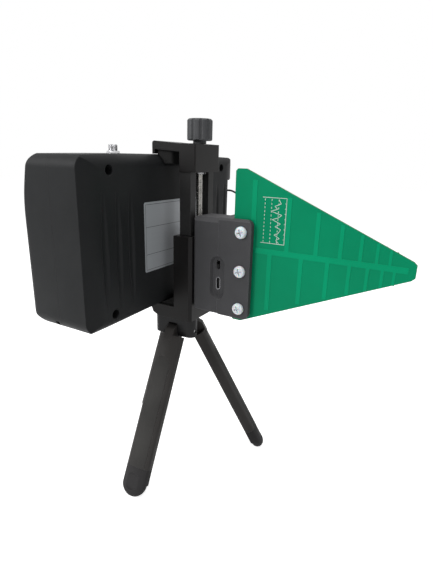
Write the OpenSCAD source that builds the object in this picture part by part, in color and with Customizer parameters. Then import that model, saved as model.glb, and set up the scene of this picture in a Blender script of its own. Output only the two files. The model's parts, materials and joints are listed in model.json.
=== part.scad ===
// Handheld radio-frequency analyser held in a screw clamp on a small tripod, with an
// active log-periodic antenna on the back of the clamp and a coax lead between the two.
// Millimetres, +Z up, the floor at Z = 0. The screen faces -Y and the antenna points to +Y.

/* [Tripod] */
// Length of a leg from its hinge pin to the tip of its foot
leg_len = 130; // [110:0.5:170]
// Width of a leg
leg_w = 20; // [16:0.5:20.5]
// Thickness of a leg from its flat inner face to the crown of its outer face
leg_t = 10; // [8:0.5:10.5]
// Angle between an opened leg and the folded position
leg_open = 26.5; // [20:0.5:32]
// Width of the tongue that enters the hub
tongue_w = 7.5; // [5:0.5:9]
// Rounding along the four long edges of a leg
leg_edge_r = 2.5; // [1.5:0.1:3.2]
// Length of the rubber foot
foot_len = 22; // [17:0.5:30]
// Width of the soft grip let into each leg
grip_w = 14; // [9:0.5:15]
// Depth of the recess that holds the grip
grip_depth = 1.2; // [0.8:0.1:1.6]
// Distance from the tripod axis to the flat faces of the hub
hub_flat = 12.5; // [12:0.1:14]
// Radius of the three rounded corners of the hub
hub_corner = 5.3; // [4:0.1:7]
// Height of the hub
hub_h = 16; // [15.5:0.5:20]
// Diameter of a leg's hinge pin
pin_d = 3; // [2:0.1:3.6]
// Distance by which the tripod stands in front of the clamp's upright
tripod_fore = 3; // [0:0.5:5]
// Diameter of the screw that joins hub and clamp
stud_d = 6.35; // [5:0.05:8]

/* [Clamp] */
// Width of the lower clamp body
clamp_w = 36; // [34:0.5:42]
// Width of the upper jaw
jaw_w = 32; // [31:0.5:36]
// Height of the lower clamp body above its base
clamp_h = 63.5; // [56:0.5:70]
// Reach of the lower jaw in front of the tripod axis
lower_reach = 19.8; // [17:0.1:24]
// Reach of the upper jaw in front of the tripod axis
upper_reach = 16.8; // [16:0.1:20]
// Thickness of the lower jaw
lower_jaw_t = 9.5; // [7:0.5:11]
// Thickness of the upper jaw's arm
arm_t = 5.5; // [4:0.5:8]
// Height of the block that carries the screw
block_h = 18.5; // [16:0.5:22]
// Rise of the upper jaw's arm from the block to its tip
arm_rise = 1.7; // [0:0.1:4]
// Thickness of the rubber pad on the lower jaw
lower_pad_t = 1.3; // [1:0.1:3]
// Thickness of the rubber pad under the arm
upper_pad_t = 3.2; // [2.8:0.1:5]
// Width of each slide rail
rail_w = 6.6; // [5:0.1:7]
// Length of the slide rails below the block
rail_len = 74; // [66:0.5:80]
// Diameter of the clamp screw
screw_d = 5; // [4:0.1:6]
// Diameter of the knob
knob_d = 17.4; // [14:0.2:22]
// Height of the knob
knob_h = 14; // [12:0.5:20]
// Number of flutes round the knob
knob_flutes = 10; // [8:1:14]

/* [Analyser] */
// Width of the analyser
case_w = 182; // [176:1:200]
// Height of the analyser
case_h = 111.5; // [108:0.5:124]
// Distance from the back of the analyser to its seam
case_rear_t = 26.5; // [25:0.5:32]
// Distance from the seam to the front of the analyser
case_front_t = 28; // [26:0.5:32]
// Wall thickness of the analyser's shells
case_wall = 2.5; // [2:0.1:3]
// Radius of the analyser's corners seen from the front
case_corner = 9; // [6:0.5:12]
// Rounding along the top and bottom of the back
back_round = 8.5; // [5:0.5:11]
// Radius of the shallow curve from the back to each side
back_edge_r = 34; // [30:1:60]
// Width of that curve, seen from the back
back_edge_w = 15; // [8:0.5:24]
// Rounding along the top of the front
front_round = 12; // [8:0.5:14]
// Rounding along the bottom of the front
front_low_round = 18; // [8:0.5:18]
// Rounding along the sides of the front
front_side_r = 6; // [4:0.5:9]
// Radius of the crowned front
front_crown_r = 270; // [250:5:400]
// Height by which the foremost line of the crown lies below the middle
crown_low = 22; // [10:1:26]
// Rise of the arched top edge
top_arch = 1.5; // [0.5:0.1:2.5]
// Rise of the arched bottom edge, highest in the middle
bottom_arch = 3.8; // [2:0.1:4]
// Depth of the recess that shelters the sockets on the side
port_recess = 6; // [5:0.5:7]
// Width of the display glass
glass_w = 152; // [140:1:154]
// Height of the display glass
glass_h = 86; // [76:1:88]
// Depth of the grooves in the back
groove_depth = 1; // [0.5:0.1:1.3]
// Width of a groove in the back
groove_w = 6; // [3:0.5:7]
// Distance from the middle of the analyser to the jack in its top
top_jack_x = 35.5; // [25:0.5:45]

/* [Antenna module] */
// Thickness of the module
module_w = 23; // [21:0.5:26]
// Wall thickness of the module's shells
module_wall = 2; // [1.6:0.1:2.4]
// Height of the rear shell
rear_shell_h = 68; // [60:0.5:69]
// Height of the front shell
front_shell_h = 69; // [69:0.5:80]
// Length of the rear shell
rear_shell_l = 20.5; // [20:0.5:24]
// Length of the front shell
front_shell_l = 24.3; // [23:0.1:28]
// Thickness of the flange outside the antenna board
flange_t = 4; // [3:0.1:4.6]
// Height of the module's middle above the base of the clamp
module_rise = 44.5; // [40:0.5:50]
// Pitch of the three nylon screws
nylon_pitch = 26.5; // [20:0.5:28]
// Diameter of the head of a nylon screw
nylon_head_d = 8; // [6.5:0.1:9]
// Depth of the socket pocket
pocket_depth = 2.5; // [1.5:0.1:2.8]

/* [Antenna board] */
// Length of the antenna board
board_len = 114.3; // [108:0.1:130]
// Height of the antenna board at its wide end
board_h = 103.4; // [100:0.2:112]
// Height of the antenna board at its narrow end
board_tip_h = 10.8; // [8:0.2:16]
// Thickness of the antenna board
board_t = 1.6; // [1:0.1:2]
// Ratio of each element on one side to the element before it
element_ratio = 0.789; // [0.76:0.001:0.81]
// Number of elements on each side of the feed strip
element_count = 7; // [4:1:7]
// Length of the longest element from the middle of the feed strip
element_len = 45; // [38:0.5:46]
// Width of the longest element
element_w = 3.3; // [2:0.1:4]
// Width of the feed strip
feed_w = 3.6; // [2:0.1:5]
// Thickness of the copper
copper_t = 0.15; // [0.1:0.05:0.3]

/* [Coax lead] */
// Diameter of the coax lead
lead_d = 1.8; // [1.2:0.1:3]

/* [Hidden] */
$fn = 48;
seat = 0.05;      // clearance where one piece is fixed in another
run = 0.3;        // clearance where one piece moves past another
eps = 0.01;       // overshoot of a cut past the face it opens
far = 400;        // reach of a cut that passes the whole part

// Tripod places: the clamp's upright is near X = Y = 0 until the whole part is centred
leg_turn = [2, 122, 242];
hinge_r = 8;
tip_r = leg_t / 2;                               // round rim of a foot
leg_out = hub_flat + 4.2 - hinge_r;              // outer crown of a folded leg, from its pin
leg_mid = leg_out - leg_t / 2;
crown_r = hub_flat + 4.2;                        // folded legs make one round handle
hinge_z = (leg_len - tip_r) * cos(leg_open) + tip_r - leg_mid * sin(leg_open);
hub_drop = 5;
hub_z0 = hinge_z - hub_drop;
hub_z1 = hub_z0 + hub_h;
shoulder_r = norm([hub_flat - hinge_r, hub_drop]) + 0.5;
tongue_r = 4.2;
slot_top = 5;
slot_r = hinge_r - tongue_r - 0.4;
pin_back = 8;
pin_len = pin_back + 17;
grip_from = 24;
grip_gap = 0.2;
tenon_len = foot_len * 0.55;
tenon_w = leg_w * 0.6;
tenon_t = leg_t * 0.45;
stud_sink = 5;
foot_r = hinge_r + (leg_len - leg_w / 2) * sin(leg_open) + leg_mid * cos(leg_open);
foot_look = -sin(leg_turn[2]) * cos(leg_open);   // how squarely the front foot's face looks forward
foot_reach = tripod_fore - foot_r * sin(leg_turn[2]) + (leg_w / 2 - tip_r) * sqrt(1 - foot_look * foot_look) + tip_r;

// Clamp places
base_z = hub_z1;
clamp_y0 = 2.2;
clamp_y1 = 17;
clamp_edge = 2;
clamp_z1 = base_z + clamp_h;
lower_jaw_z = base_z + lower_jaw_t;
rod_y = 12.15;
block_y0 = 5.5;
block_y1 = 2 * rod_y - block_y0;
rail_x1 = jaw_w / 2 - 1;
rail_x0 = rail_x1 - rail_w;
rail_y0 = block_y0 + 0.3;
rail_y1 = clamp_y1 - 2.3;
rail_in = 8;
lip_t = 2;
lip_h = upper_pad_t;
rod_top = 12;
rod_below = 84;
nut_w = 10;
nut_l = 7.2;
nut_t = 6;
neck_h = 2;
neck_d = 9.2;
clip_t = 1.1;

// Analyser places
case_y1 = -8.5;
seam_y = case_y1 - case_rear_t;
case_y0 = seam_y - case_front_t;
pad_gap = 0.2;    // between each pad and the middle of the arched edge it faces
lower_pad_z = lower_jaw_z + lower_pad_t;
case_z0 = lower_pad_z + pad_gap - bottom_arch;
case_z = case_z0 + case_h / 2;
case_z1 = case_z0 + case_h;
upper_pad_z = case_z1 + pad_gap;
tip_z0 = upper_pad_z + upper_pad_t;              // underside of the arm at its tip
block_z1 = tip_z0 + arm_t - arm_rise;
block_z0 = block_z1 - block_h;
case_x = case_w / 2;
back_edge_x = case_x - back_edge_w;
back_edge_y = case_y1 - back_edge_r;
recess_x = case_x - port_recess;
recess_z = [-40, 36];
recess_y = case_y0 + 14;
recess_corner = 3;
recess_edge_r = 4;
case_screw = [68.1, case_h / 2 - 9.95];
case_screw_head = 2.9;
case_screw_sink = 13;
boss_r = 5.5;
front_boss_r = 4.2;
glass_t = 1.5;
glass_corner = 3;
glass_frame = 6;
glass_top_y = crown_y(glass_h / 2);
glass_low_y = crown_y(-glass_h / 2);
glass_tilt = atan((glass_top_y - glass_low_y) / glass_h);
glass_y = (glass_top_y + glass_low_y) / 2 + 0.8; // front of the glass, just below the rim
glass_ledge = 2;
panel_t = 4;
pcb_t = 1.6;
pcb_y1 = seam_y + 3.2;
pcb_y0 = pcb_y1 - pcb_t;
pcb_x = 61.5;
pcb_tab_z = [recess_z[0] + 4, recess_z[1] - 20]; // arm of the board that reaches the sockets
pcb_z = case_h / 2 - 8.75;
standoff = [56, pcb_z - 5];
label_w = 73.4;
label_h = 48.9;
label_z = case_z - 0.25;
label_t = 0.3;
groove_x = [50, 62.2, 74.4];
groove_z = [-43, 34];
side_jack_z = case_z + 25;
top_jack_z = case_z1 - 0.6;
side_usb_z = case_z - 6;
switch_z = case_z - 26;
switch_travel = 2;
battery_size = [100, 8, 60];

// Front surface of the analyser at the given height above its middle
function crown_y(z) = case_y0 + front_crown_r - sqrt(front_crown_r * front_crown_r - (z + crown_low) * (z + crown_low));

// Sub-miniature threaded jack
jack_r = 3.175;
jack_len = 6;
jack_hole_r = 3.3;
jack_in = 4;
nut_flat = 8;
jack_nut_t = 2;
plug_nut_l = 6.4;
plug_gap = 0.1;
plug_z = jack_nut_t + plug_gap + plug_nut_l;     // back of a plug's nut, from the jack's seat

// Antenna module places
module_x1 = 15;
module_x0 = module_x1 - module_w;
module_y0 = clamp_y1;
module_seam = module_y0 + rear_shell_l;
module_y1 = module_seam + front_shell_l;
module_z = base_z + module_rise;
module_chamfer = 3;
amp_y1 = module_seam - 2.5;
amp_t = 1.6;
pocket_w = 11.7;
pocket_h = 31;
pocket_y = module_seam - 0.4;
pocket_z = module_z - 7.5;
pocket_x = module_x1 - pocket_depth;
pocket_bevel = 1.4;
usb_z = module_z - 12;
usb_size = [7.4, 3.2, 9];
bias_z = module_z + 1.5;
jack_y = module_y0 + 12.95;
jack_z = module_z + 18.5;
nylon_y = module_y1 - 7.2;
nylon_r = 1.95;
mount_screw_x = (3.2 + rail_x0) / 2 - 0.2;
mount_screw_z = [-16, 8];

// Antenna board places
board_x1 = module_x1 - flange_t;
board_x0 = board_x1 - board_t;
board_y0 = module_seam + 9.6;
board_y1 = board_y0 + board_len;
board_z = module_z + 14.9;
board_flat = 7.5;
element_y = board_y0 + 14.1;
apex = element_len / 0.397;

// The whole part is centred on the footprint of its rigid pieces
origin_y = (board_y1 + min(case_y0, -foot_reach)) / 2;

// Route of the coax lead, from the analyser's plug round to the module's plug
LEAD_ROUTE = [
    [-97, -65.5, 214.2], [-97, -60.5, 214.2], [-95.5, -55.5, 213], [-93.5, -51, 211.5],
    [-91, -47, 210], [-88.5, -43, 208.5], [-85, -39.5, 206.5], [-82, -36.5, 204.5],
    [-78, -33.5, 203], [-74.5, -30.5, 201], [-70.5, -28, 199], [-66.5, -26, 197.5],
    [-62, -24, 196], [-57.5, -22, 194], [-53, -20.5, 193], [-48.5, -19, 191.5],
    [-43.5, -18, 190.5], [-38.5, -17, 190], [-33.5, -16.6, 189.2], [-28.5, -16.6, 189.2]
];

// ---------------------------------------------------------------- shared shapes

// Moves a piece from the tripod's axis to the centred frame
module place() {
    translate([0, -origin_y, 0]) children();
}

module place_tripod() {
    place() translate([0, -tripod_fore, 0]) children();
}

// Rectangle with round corners, from its lowest corner to its highest
module round_rect(a, b, r) {
    translate([a[0] + r, a[1]]) square([b[0] - a[0] - 2 * r, b[1] - a[1]]);
    translate([a[0], a[1] + r]) square([b[0] - a[0], b[1] - a[1] - 2 * r]);
    for (x = [a[0] + r, b[0] - r], y = [a[1] + r, b[1] - r]) translate([x, y]) circle(r);
}

// Box given by its lowest and highest corners
module box(a, b) {
    translate(a) cube([b[0] - a[0], b[1] - a[1], b[2] - a[2]]);
}

// Extrudes a drawing in X-Z from y0 to y1
module along_y(y0, y1) {
    translate([0, y1, 0]) rotate([90, 0, 0]) linear_extrude(y1 - y0) children();
}

// Extrudes a drawing in Y-Z from x0 to x1
module along_x(x0, x1) {
    translate([x0, 0, 0]) rotate([90, 0, 90]) linear_extrude(x1 - x0) children();
}

// Extrudes a drawing in X-Y from z0 to z1
module along_z(z0, z1) {
    translate([0, 0, z0]) linear_extrude(z1 - z0) children();
}

// Cylinder along X or Y
module rod_x(x0, x1, r) {
    translate([x0, 0, 0]) rotate([0, 90, 0]) cylinder(h = x1 - x0, r = r);
}
module rod_y(y0, y1, r) {
    translate([0, y1, 0]) rotate([90, 0, 0]) cylinder(h = y1 - y0, r = r);
}

// Stadium-shaped slot in X-Z, long in Z
module slot_2d(w, h) {
    square([w, h - w], center = true);
    for (s = [-1, 1]) translate([0, s * (h - w) / 2]) circle(d = w);
}

// Threaded radio jack along +Z: nut face at Z = 0, barrel above, body below
module rf_jack() {
    difference() {
        union() {
            cylinder(h = jack_len, r = jack_r);
            rotate(30) cylinder(h = jack_nut_t, d = nut_flat / cos(30), $fn = 6);
            translate([0, 0, -case_wall - jack_in + seat]) cylinder(h = case_wall + jack_in, r = jack_r);
        }
        translate([0, 0, 1]) cylinder(h = jack_len, r = jack_r - 0.9);
    }
    translate([0, 0, 1 - eps]) cylinder(h = jack_len - 2, r = 0.65);
}

// Socket of the flat reversible kind, mouth towards +X, centred in Y and Z
module usb_shell() {
    l = usb_size[0];
    w = usb_size[1];
    h = usb_size[2];
    difference() {
        along_x(-l, 0) slot_2d(w, h);
        along_x(-l + 1, eps) slot_2d(w - 0.6, h - 0.6);
    }
    box([-l + 1 - eps, -0.35, -h / 2 + 1.2], [-1.2, 0.35, h / 2 - 1.2]);
}

// ---------------------------------------------------------------- tripod

// Plan of the hub: a triangle with round corners between the legs
module hub_plan() {
    corner_at = 2 * (hub_flat - hub_corner);
    rotate(leg_turn[0] + 60) {
        polygon([for (a = [0, 120, 240]) corner_at * [cos(a), sin(a)]]);
        for (a = [0, 120, 240]) rotate(a) {
            translate([corner_at, 0]) circle(hub_corner);
            rotate(60) translate([0, -corner_at * sin(60)])
                square([hub_flat, 2 * corner_at * sin(60)]);
        }
    }
}

module tripod_hub() {
    color([0.12, 0.12, 0.13]) place_tripod() difference() {
        translate([0, 0, hub_z0]) linear_extrude(hub_h) hub_plan();
        for (a = leg_turn) rotate(a) {
            box([slot_r, -tongue_w / 2 - run, hub_z0 - 1],
                [hub_flat + 10, tongue_w / 2 + run, hinge_z + slot_top]);
            translate([hinge_r, 0, hinge_z]) rod_y(-pin_back - seat, hub_flat + 12, pin_d / 2 + seat);
        }
        translate([0, 0, hub_z1 - stud_sink]) cylinder(h = stud_sink + 1, r = stud_d / 2 + seat);
    }
}

// Section of a folded leg seen from above: crowned outside, flat inside, its corners round
module leg_section() {
    edge_y = leg_w / 2 - leg_edge_r;
    edge_x = sqrt(pow(crown_r - leg_edge_r, 2) - edge_y * edge_y) - hinge_r;
    tangent_y = crown_r * edge_y / (crown_r - leg_edge_r);
    intersection() {
        translate([-hinge_r, 0]) circle(crown_r, $fn = 96);
        translate([leg_out - leg_t, -tangent_y]) square([leg_t, 2 * tangent_y]);
    }
    round_rect([leg_out - leg_t, -leg_w / 2], [edge_x + leg_edge_r, leg_w / 2], leg_edge_r);
}

// Round end of a leg: a disc with a rim as round as the leg is thick
module leg_end() {
    translate([leg_mid, 0, -leg_len + leg_w / 2]) rotate([0, 90, 0]) rotate_extrude() {
        translate([0, -tip_r]) square([leg_w / 2 - tip_r, leg_t]);
        intersection() {
            translate([leg_w / 2 - tip_r, 0]) circle(tip_r);
            translate([0, -tip_r]) square([leg_w, leg_t]);
        }
    }
}

// Whole leg as one blank, folded, with its pin at the origin
module leg_blank() {
    intersection() {
        translate([0, 0, -leg_len]) linear_extrude(leg_len) leg_section();
        union() {
            leg_end();
            box([leg_out - leg_t - 1, -leg_w, -leg_len + leg_w / 2], [leg_out + 1, leg_w, 1]);
        }
    }
}

// Everything of the leg from the given distance down to the foot
module below(s) {
    box([-20, -20, -leg_len - 1], [20, 20, -s]);
}

// Face of the grip: round at the top, square at the foot
module grip_face(w) {
    translate([0, -grip_from - w / 2]) circle(w / 2);
    translate([-w / 2, -leg_len + foot_len]) square([w, leg_len - foot_len - grip_from - w / 2]);
}

// Turns a folded leg's piece into its opened place round the hub
module opened(i) {
    place_tripod() rotate(leg_turn[i]) translate([hinge_r, 0, hinge_z]) rotate([0, -leg_open, 0]) children();
}

module leg_tongue() {
    along_y(-tongue_w / 2, tongue_w / 2) {
        circle(tongue_r);
        polygon([[leg_out - leg_t, -shoulder_r - 4], [leg_out, -shoulder_r - 4], [leg_out, -2.4],
            [leg_out - 2.4, 1.2], [tongue_r * 0.75, tongue_r * 0.66], [-tongue_r * 0.75, tongue_r * 0.66],
            [-tongue_r * 0.99, 0], [leg_out - leg_t, -tongue_r]]);
    }
}

module leg(i) {
    foot_z = -leg_len + foot_len;
    color([0.17, 0.18, 0.19]) opened(i) difference() {
        union() {
            difference() {
                leg_blank();
                below(leg_len - foot_len);
                rod_y(-leg_w, leg_w, shoulder_r);
                box([-20, -20, -shoulder_r], [20, 20, 20]);
                intersection() {
                    along_x(leg_out - grip_depth - 4, leg_out + 1) grip_face(grip_w);
                    difference() {
                        box([-20, -20, -leg_len], [20, 20, 0]);
                        translate([-hinge_r, 0, -leg_len]) cylinder(h = leg_len, r = crown_r - grip_depth, $fn = 96);
                    }
                }
            }
            leg_tongue();
            box([leg_mid - tenon_t / 2, -tenon_w / 2, foot_z - tenon_len],
                [leg_mid + tenon_t / 2, tenon_w / 2, foot_z + eps]);
        }
        rod_y(-leg_w, leg_w, pin_d / 2 + seat);
    }
}

module grip(i) {
    color([0.22, 0.22, 0.23]) opened(i) intersection() {
        along_x(leg_out - grip_depth - 4, leg_out + 1) grip_face(grip_w - 2 * grip_gap);
        difference() {
            translate([-hinge_r, 0, -leg_len + foot_len]) cylinder(h = leg_len, r = crown_r, $fn = 96);
            translate([-hinge_r, 0, -leg_len]) cylinder(h = 2 * leg_len, r = crown_r - grip_depth + seat, $fn = 96);
        }
    }
}

module foot(i) {
    foot_z = -leg_len + foot_len;
    color([0.2, 0.2, 0.21]) opened(i) difference() {
        intersection() {
            leg_blank();
            below(leg_len - foot_len);
        }
        box([leg_mid - tenon_t / 2 - seat, -tenon_w / 2 - seat, foot_z - tenon_len - seat],
            [leg_mid + tenon_t / 2 + seat, tenon_w / 2 + seat, foot_z + 1]);
        translate([leg_out - 0.7, 0, -leg_len + leg_w / 2 + 1.5]) rod_x(0, 5, leg_w * 0.3);
    }
}

module hinge_pins() {
    color([0.6, 0.6, 0.62]) place_tripod() for (a = leg_turn) rotate(a)
        translate([hinge_r, 0, hinge_z]) rod_y(-pin_back, pin_len - pin_back, pin_d / 2);
}

module stand_screw() {
    color([0.65, 0.65, 0.67]) place_tripod() translate([0, 0, hub_z1 - stud_sink])
        cylinder(h = stud_sink + lower_jaw_t - 0.5, r = stud_d / 2);
}

// ---------------------------------------------------------------- clamp

module clamp_body() {
    x = clamp_w / 2;
    color([0.14, 0.14, 0.15]) place() difference() {
        union() {
            along_z(base_z, clamp_z1) polygon([[-x, clamp_y0], [x, clamp_y0], [x, clamp_y1 - clamp_edge],
                [x - clamp_edge, clamp_y1], [-x + clamp_edge, clamp_y1], [-x, clamp_y1 - clamp_edge]]);
            along_x(-x, x) polygon([[clamp_y0 + eps, base_z], [clamp_y0 + eps, lower_jaw_z],
                [-lower_reach, lower_jaw_z], [-lower_reach, lower_jaw_z - 1.2],
                [-lower_reach + 2.5, base_z + 2], [-lower_reach + 7, base_z]]);
        }
        for (s = [-1, 1]) mirror([s < 0 ? 1 : 0, 0, 0])
            box([rail_x0 - run, rail_y0 - run, block_z0 - rail_len - 14],
                [rail_x1 + run, rail_y1 + run, clamp_z1 + 1]);
        translate([0, rod_y, block_z0 - rod_below - 3]) cylinder(h = far, r = screw_d / 2 + 0.6);
        box([-nut_w / 2 - seat, rod_y - nut_l / 2 - seat, clamp_z1 - nut_t],
            [nut_w / 2 + seat, rod_y + nut_l / 2 + seat, clamp_z1 + 1]);
        translate([0, -tripod_fore, base_z - 1]) cylinder(h = lower_jaw_t + 1, r = stud_d / 2 + seat);
        for (z = mount_screw_z) translate([mount_screw_x, 0, module_z + z])
            rod_y(clamp_y1 - 8, clamp_y1 + 1, 1.5 + seat);
    }
}

module lower_jaw_pad() {
    color([0.07, 0.07, 0.07]) place()
        along_z(lower_jaw_z, lower_pad_z) round_rect([-clamp_w / 2 + 2, -lower_reach + 2], [clamp_w / 2 - 2, 0], 2);
}

// Height of the arm's underside at the given place
function arm_under(y) = block_z1 - arm_t + arm_rise * (block_y0 - y) / (block_y0 + upper_reach);

module upper_jaw() {
    x = jaw_w / 2;
    tip_z1 = tip_z0 + arm_t;
    color([0.15, 0.15, 0.16]) place() difference() {
        union() {
            along_z(block_z0, block_z1) round_rect([-x, block_y0], [x, block_y1], 0.8);
            along_x(-x, x) polygon([[block_y0 + 2, arm_under(block_y0)], [block_y0 + 2, block_z1], [block_y0, block_z1],
                [-upper_reach + 1.6, tip_z1], [-upper_reach + 0.4, tip_z1 - 0.5],
                [-upper_reach, tip_z1 - 1.6], [-upper_reach, tip_z0 - lip_h],
                [-upper_reach + lip_t, tip_z0 - lip_h], [-upper_reach + lip_t, arm_under(-upper_reach + lip_t)]]);
        }
        translate([0, rod_y, block_z0 - 1]) cylinder(h = block_h + 2, r = screw_d / 2 + 0.08);
        for (s = [-1, 1]) mirror([s < 0 ? 1 : 0, 0, 0])
            box([rail_x0 - seat, rail_y0 - seat, block_z0 - 1],
                [rail_x1 + seat, rail_y1 + seat, block_z0 + rail_in]);
    }
}

module slide_rails() {
    color([0.16, 0.16, 0.17]) place() for (s = [-1, 1]) mirror([s < 0 ? 1 : 0, 0, 0])
        box([rail_x0, rail_y0, block_z0 - rail_len], [rail_x1, rail_y1, block_z0 + rail_in]);
}

// Height of the analyser's round back edge at the given place, with the gap to a pad
function back_edge_z(y) = case_z1 + pad_gap - back_round + sqrt(back_round * back_round - pow(y - case_y1 + back_round, 2));

// Rubber between the rising arm and the analyser, whose heel hangs down behind the round back edge
module upper_jaw_pad() {
    y0 = -upper_reach + lip_t + 0.2;
    y1 = -1;
    heel_y = case_y1 + pad_gap;
    heel_z = upper_pad_z - back_round * 0.75;
    color([0.07, 0.07, 0.07]) place() intersection() {
        along_x(-jaw_w / 2, jaw_w / 2)
            polygon([[y0, upper_pad_z], [case_y1 - 4.5, back_edge_z(case_y1 - 5.5)], [case_y1 - 2.5, back_edge_z(case_y1 - 3)],
                [case_y1 - 1, back_edge_z(case_y1 - 1.5)], [heel_y, back_edge_z(case_y1 - 0.5)],
                [heel_y, heel_z], [y1, heel_z], [y1, arm_under(y1)], [y0, arm_under(y0)]]);
        along_z(heel_z - 1, block_z1 + arm_rise) round_rect([-jaw_w / 2 + 2, y0], [jaw_w / 2 - 2, y1], 2);
    }
}

module clamp_knob() {
    color([0.2, 0.2, 0.21]) place() translate([0, rod_y, block_z1 + run]) difference() {
        rotate_extrude($fn = 96) polygon([[0, 0], [neck_d / 2, 0], [neck_d / 2, neck_h],
            [knob_d / 2 - 0.6, neck_h], [knob_d / 2, neck_h + 0.6], [knob_d / 2, neck_h + knob_h - 1],
            [knob_d / 2 - 1, neck_h + knob_h], [0, neck_h + knob_h]]);
        for (i = [0:knob_flutes - 1]) rotate(360 / knob_flutes * i)
            translate([knob_d / 2 + 0.5, 0, -1]) cylinder(h = knob_h + neck_h + 2, r = 1.5, $fn = 24);
        translate([0, 0, -1]) cylinder(h = rod_top + 1, r = screw_d / 2 + seat);
    }
}

module clamp_screw() {
    color([0.8, 0.8, 0.82]) place() translate([0, rod_y, block_z0 - rod_below])
        cylinder(h = rod_below + block_h + run + rod_top - 0.5, r = screw_d / 2);
}

module screw_clip() {
    color([0.5, 0.5, 0.52]) place() translate([0, rod_y, block_z0 - run - clip_t]) difference() {
        cylinder(h = clip_t, r = screw_d / 2 + 1.9);
        translate([0, 0, -1]) cylinder(h = clip_t + 2, r = screw_d / 2 + 0.01);
        box([-0.9, 0, -1], [0.9, 10, clip_t + 1]);
    }
}

module clamp_nut() {
    color([0.75, 0.6, 0.3]) place() difference() {
        box([-nut_w / 2, rod_y - nut_l / 2, clamp_z1 - nut_t], [nut_w / 2, rod_y + nut_l / 2, clamp_z1]);
        translate([0, rod_y, 0]) cylinder(h = 2 * clamp_z1, r = screw_d / 2 + seat);
    }
}

// ---------------------------------------------------------------- analyser

// Side profile of the front, moved in by the given amount: one wide arc with round corners
module crowned_profile(in) {
    crown_at = case_y0 + front_crown_r;
    crown = front_crown_r - in;
    h = case_h / 2 - in;
    low_r = front_low_round - in;
    high_r = front_round - in;
    low = h - low_r - crown_low;
    high = h - high_r + crown_low;
    low_end = crown * low / (crown - low_r);
    high_end = crown * high / (crown - high_r);
    intersection() {
        translate([crown_at, -crown_low]) circle(crown, $fn = 720);
        translate([case_y0, -crown_low - low_end]) square([case_front_t, low_end + high_end]);
    }
    for (side = [[-1, low_r, low], [1, high_r, high]]) {
        r = side[1];
        y = crown_at - sqrt(pow(crown - r, 2) - side[2] * side[2]);
        translate([y, side[0] * (h - r)]) circle(r);
        translate([y, side[0] < 0 ? -h : 0]) square([seam_y + back_round - y, h]);
    }
}

// Radius of an arc that rises by the given height over the analyser's half width
function arch_r(rise) = (case_x * case_x + rise * rise) / (2 * rise);

// Analyser's form moved in by the given amount
module case_form(in) {
    x = case_x - in;
    h = case_h / 2 - in;
    y1 = case_y1 - in;
    side_y = back_edge_y + sqrt(pow(back_edge_r - in, 2) - pow(x - back_edge_x, 2));
    intersection() {
        // Seen from the front: round corners, the top and bottom both arched upwards
        along_y(case_y0, case_y1) translate([0, case_z]) difference() {
            intersection() {
                round_rect([-x, -h], [x, h], case_corner - in);
                translate([0, case_h / 2 - arch_r(top_arch)]) circle(arch_r(top_arch) - in, $fn = 720);
            }
            translate([0, -case_h / 2 + bottom_arch - arch_r(bottom_arch)]) circle(arch_r(bottom_arch) + in, $fn = 720);
        }
        // Seen from the side: round back edges and a crowned front
        along_x(-case_x, case_x) translate([0, case_z]) {
            round_rect([seam_y, -h], [y1, h], back_round - in);
            crowned_profile(in);
        }
        // Seen from above: round front corners, and a shallow curve from the back to each side
        along_z(case_z - case_h, case_z + case_h) intersection() {
            round_rect([-x, case_y0 + in], [x, case_y1 + case_front_t], front_side_r - in);
            union() {
                polygon([[-x, case_y0], [x, case_y0], [x, side_y], [back_edge_x, y1], [-back_edge_x, y1], [-x, side_y]]);
                if (in == 0) for (s = [-1, 1]) translate([s * back_edge_x, back_edge_y]) circle(back_edge_r, $fn = 180);
            }
        }
    }
}

// Turns what is drawn round Y = Z = 0 into the leaning plane of the display
module on_glass() {
    translate([0, glass_y, case_z]) rotate([-glass_tilt, 0, 0]) children();
}

// Recess in the side that shelters the sockets, grown by the wall on its inside
module port_recess_cut(grow) {
    along_y(recess_y - grow, case_y1 + 1)
        translate([0, case_z]) round_rect([-case_x - 20, recess_z[0] - grow],
            [-recess_x + grow, recess_z[1] + grow], recess_corner);
}

module case_blank() {
    difference() {
        case_form(0);
        port_recess_cut(0);
        along_z(case_z + recess_z[0], case_z + recess_z[1])
            corner_cut(-recess_x, case_y1 - 1, 1, -1, recess_edge_r);
    }
}

module case_hollow() {
    difference() {
        case_form(case_wall);
        port_recess_cut(case_wall);
        on_glass() box([-far, -far, -far], [far, glass_t + glass_ledge, far]);
    }
}

// Holes that sit half in each shell
module case_ports() {
    translate([0, seam_y, side_jack_z]) rod_x(-recess_x - 1, -recess_x + 4, jack_hole_r);
    along_x(-recess_x - 1, -recess_x + 4) translate([pcb_y0 - usb_size[1] / 2, side_usb_z])
        slot_2d(usb_size[1] + 0.4, usb_size[2] + 0.4);
    box([-recess_x - 1, seam_y - 1.4, switch_z - 2.3],
        [-recess_x + 4, seam_y + 1.4, switch_z + 2.3 + switch_travel]);
    translate([top_jack_x, seam_y, top_jack_z]) {
        translate([0, 0, -case_wall - 1]) cylinder(h = case_wall + 2, r = jack_hole_r);
        cylinder(h = jack_len, d = nut_flat / cos(30) + 1);
    }
}

module case_screw_places() {
    for (x = [-1, 1], z = [-1, 1]) translate([x * case_screw[0], 0, case_z + z * case_screw[1]]) children();
}

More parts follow.
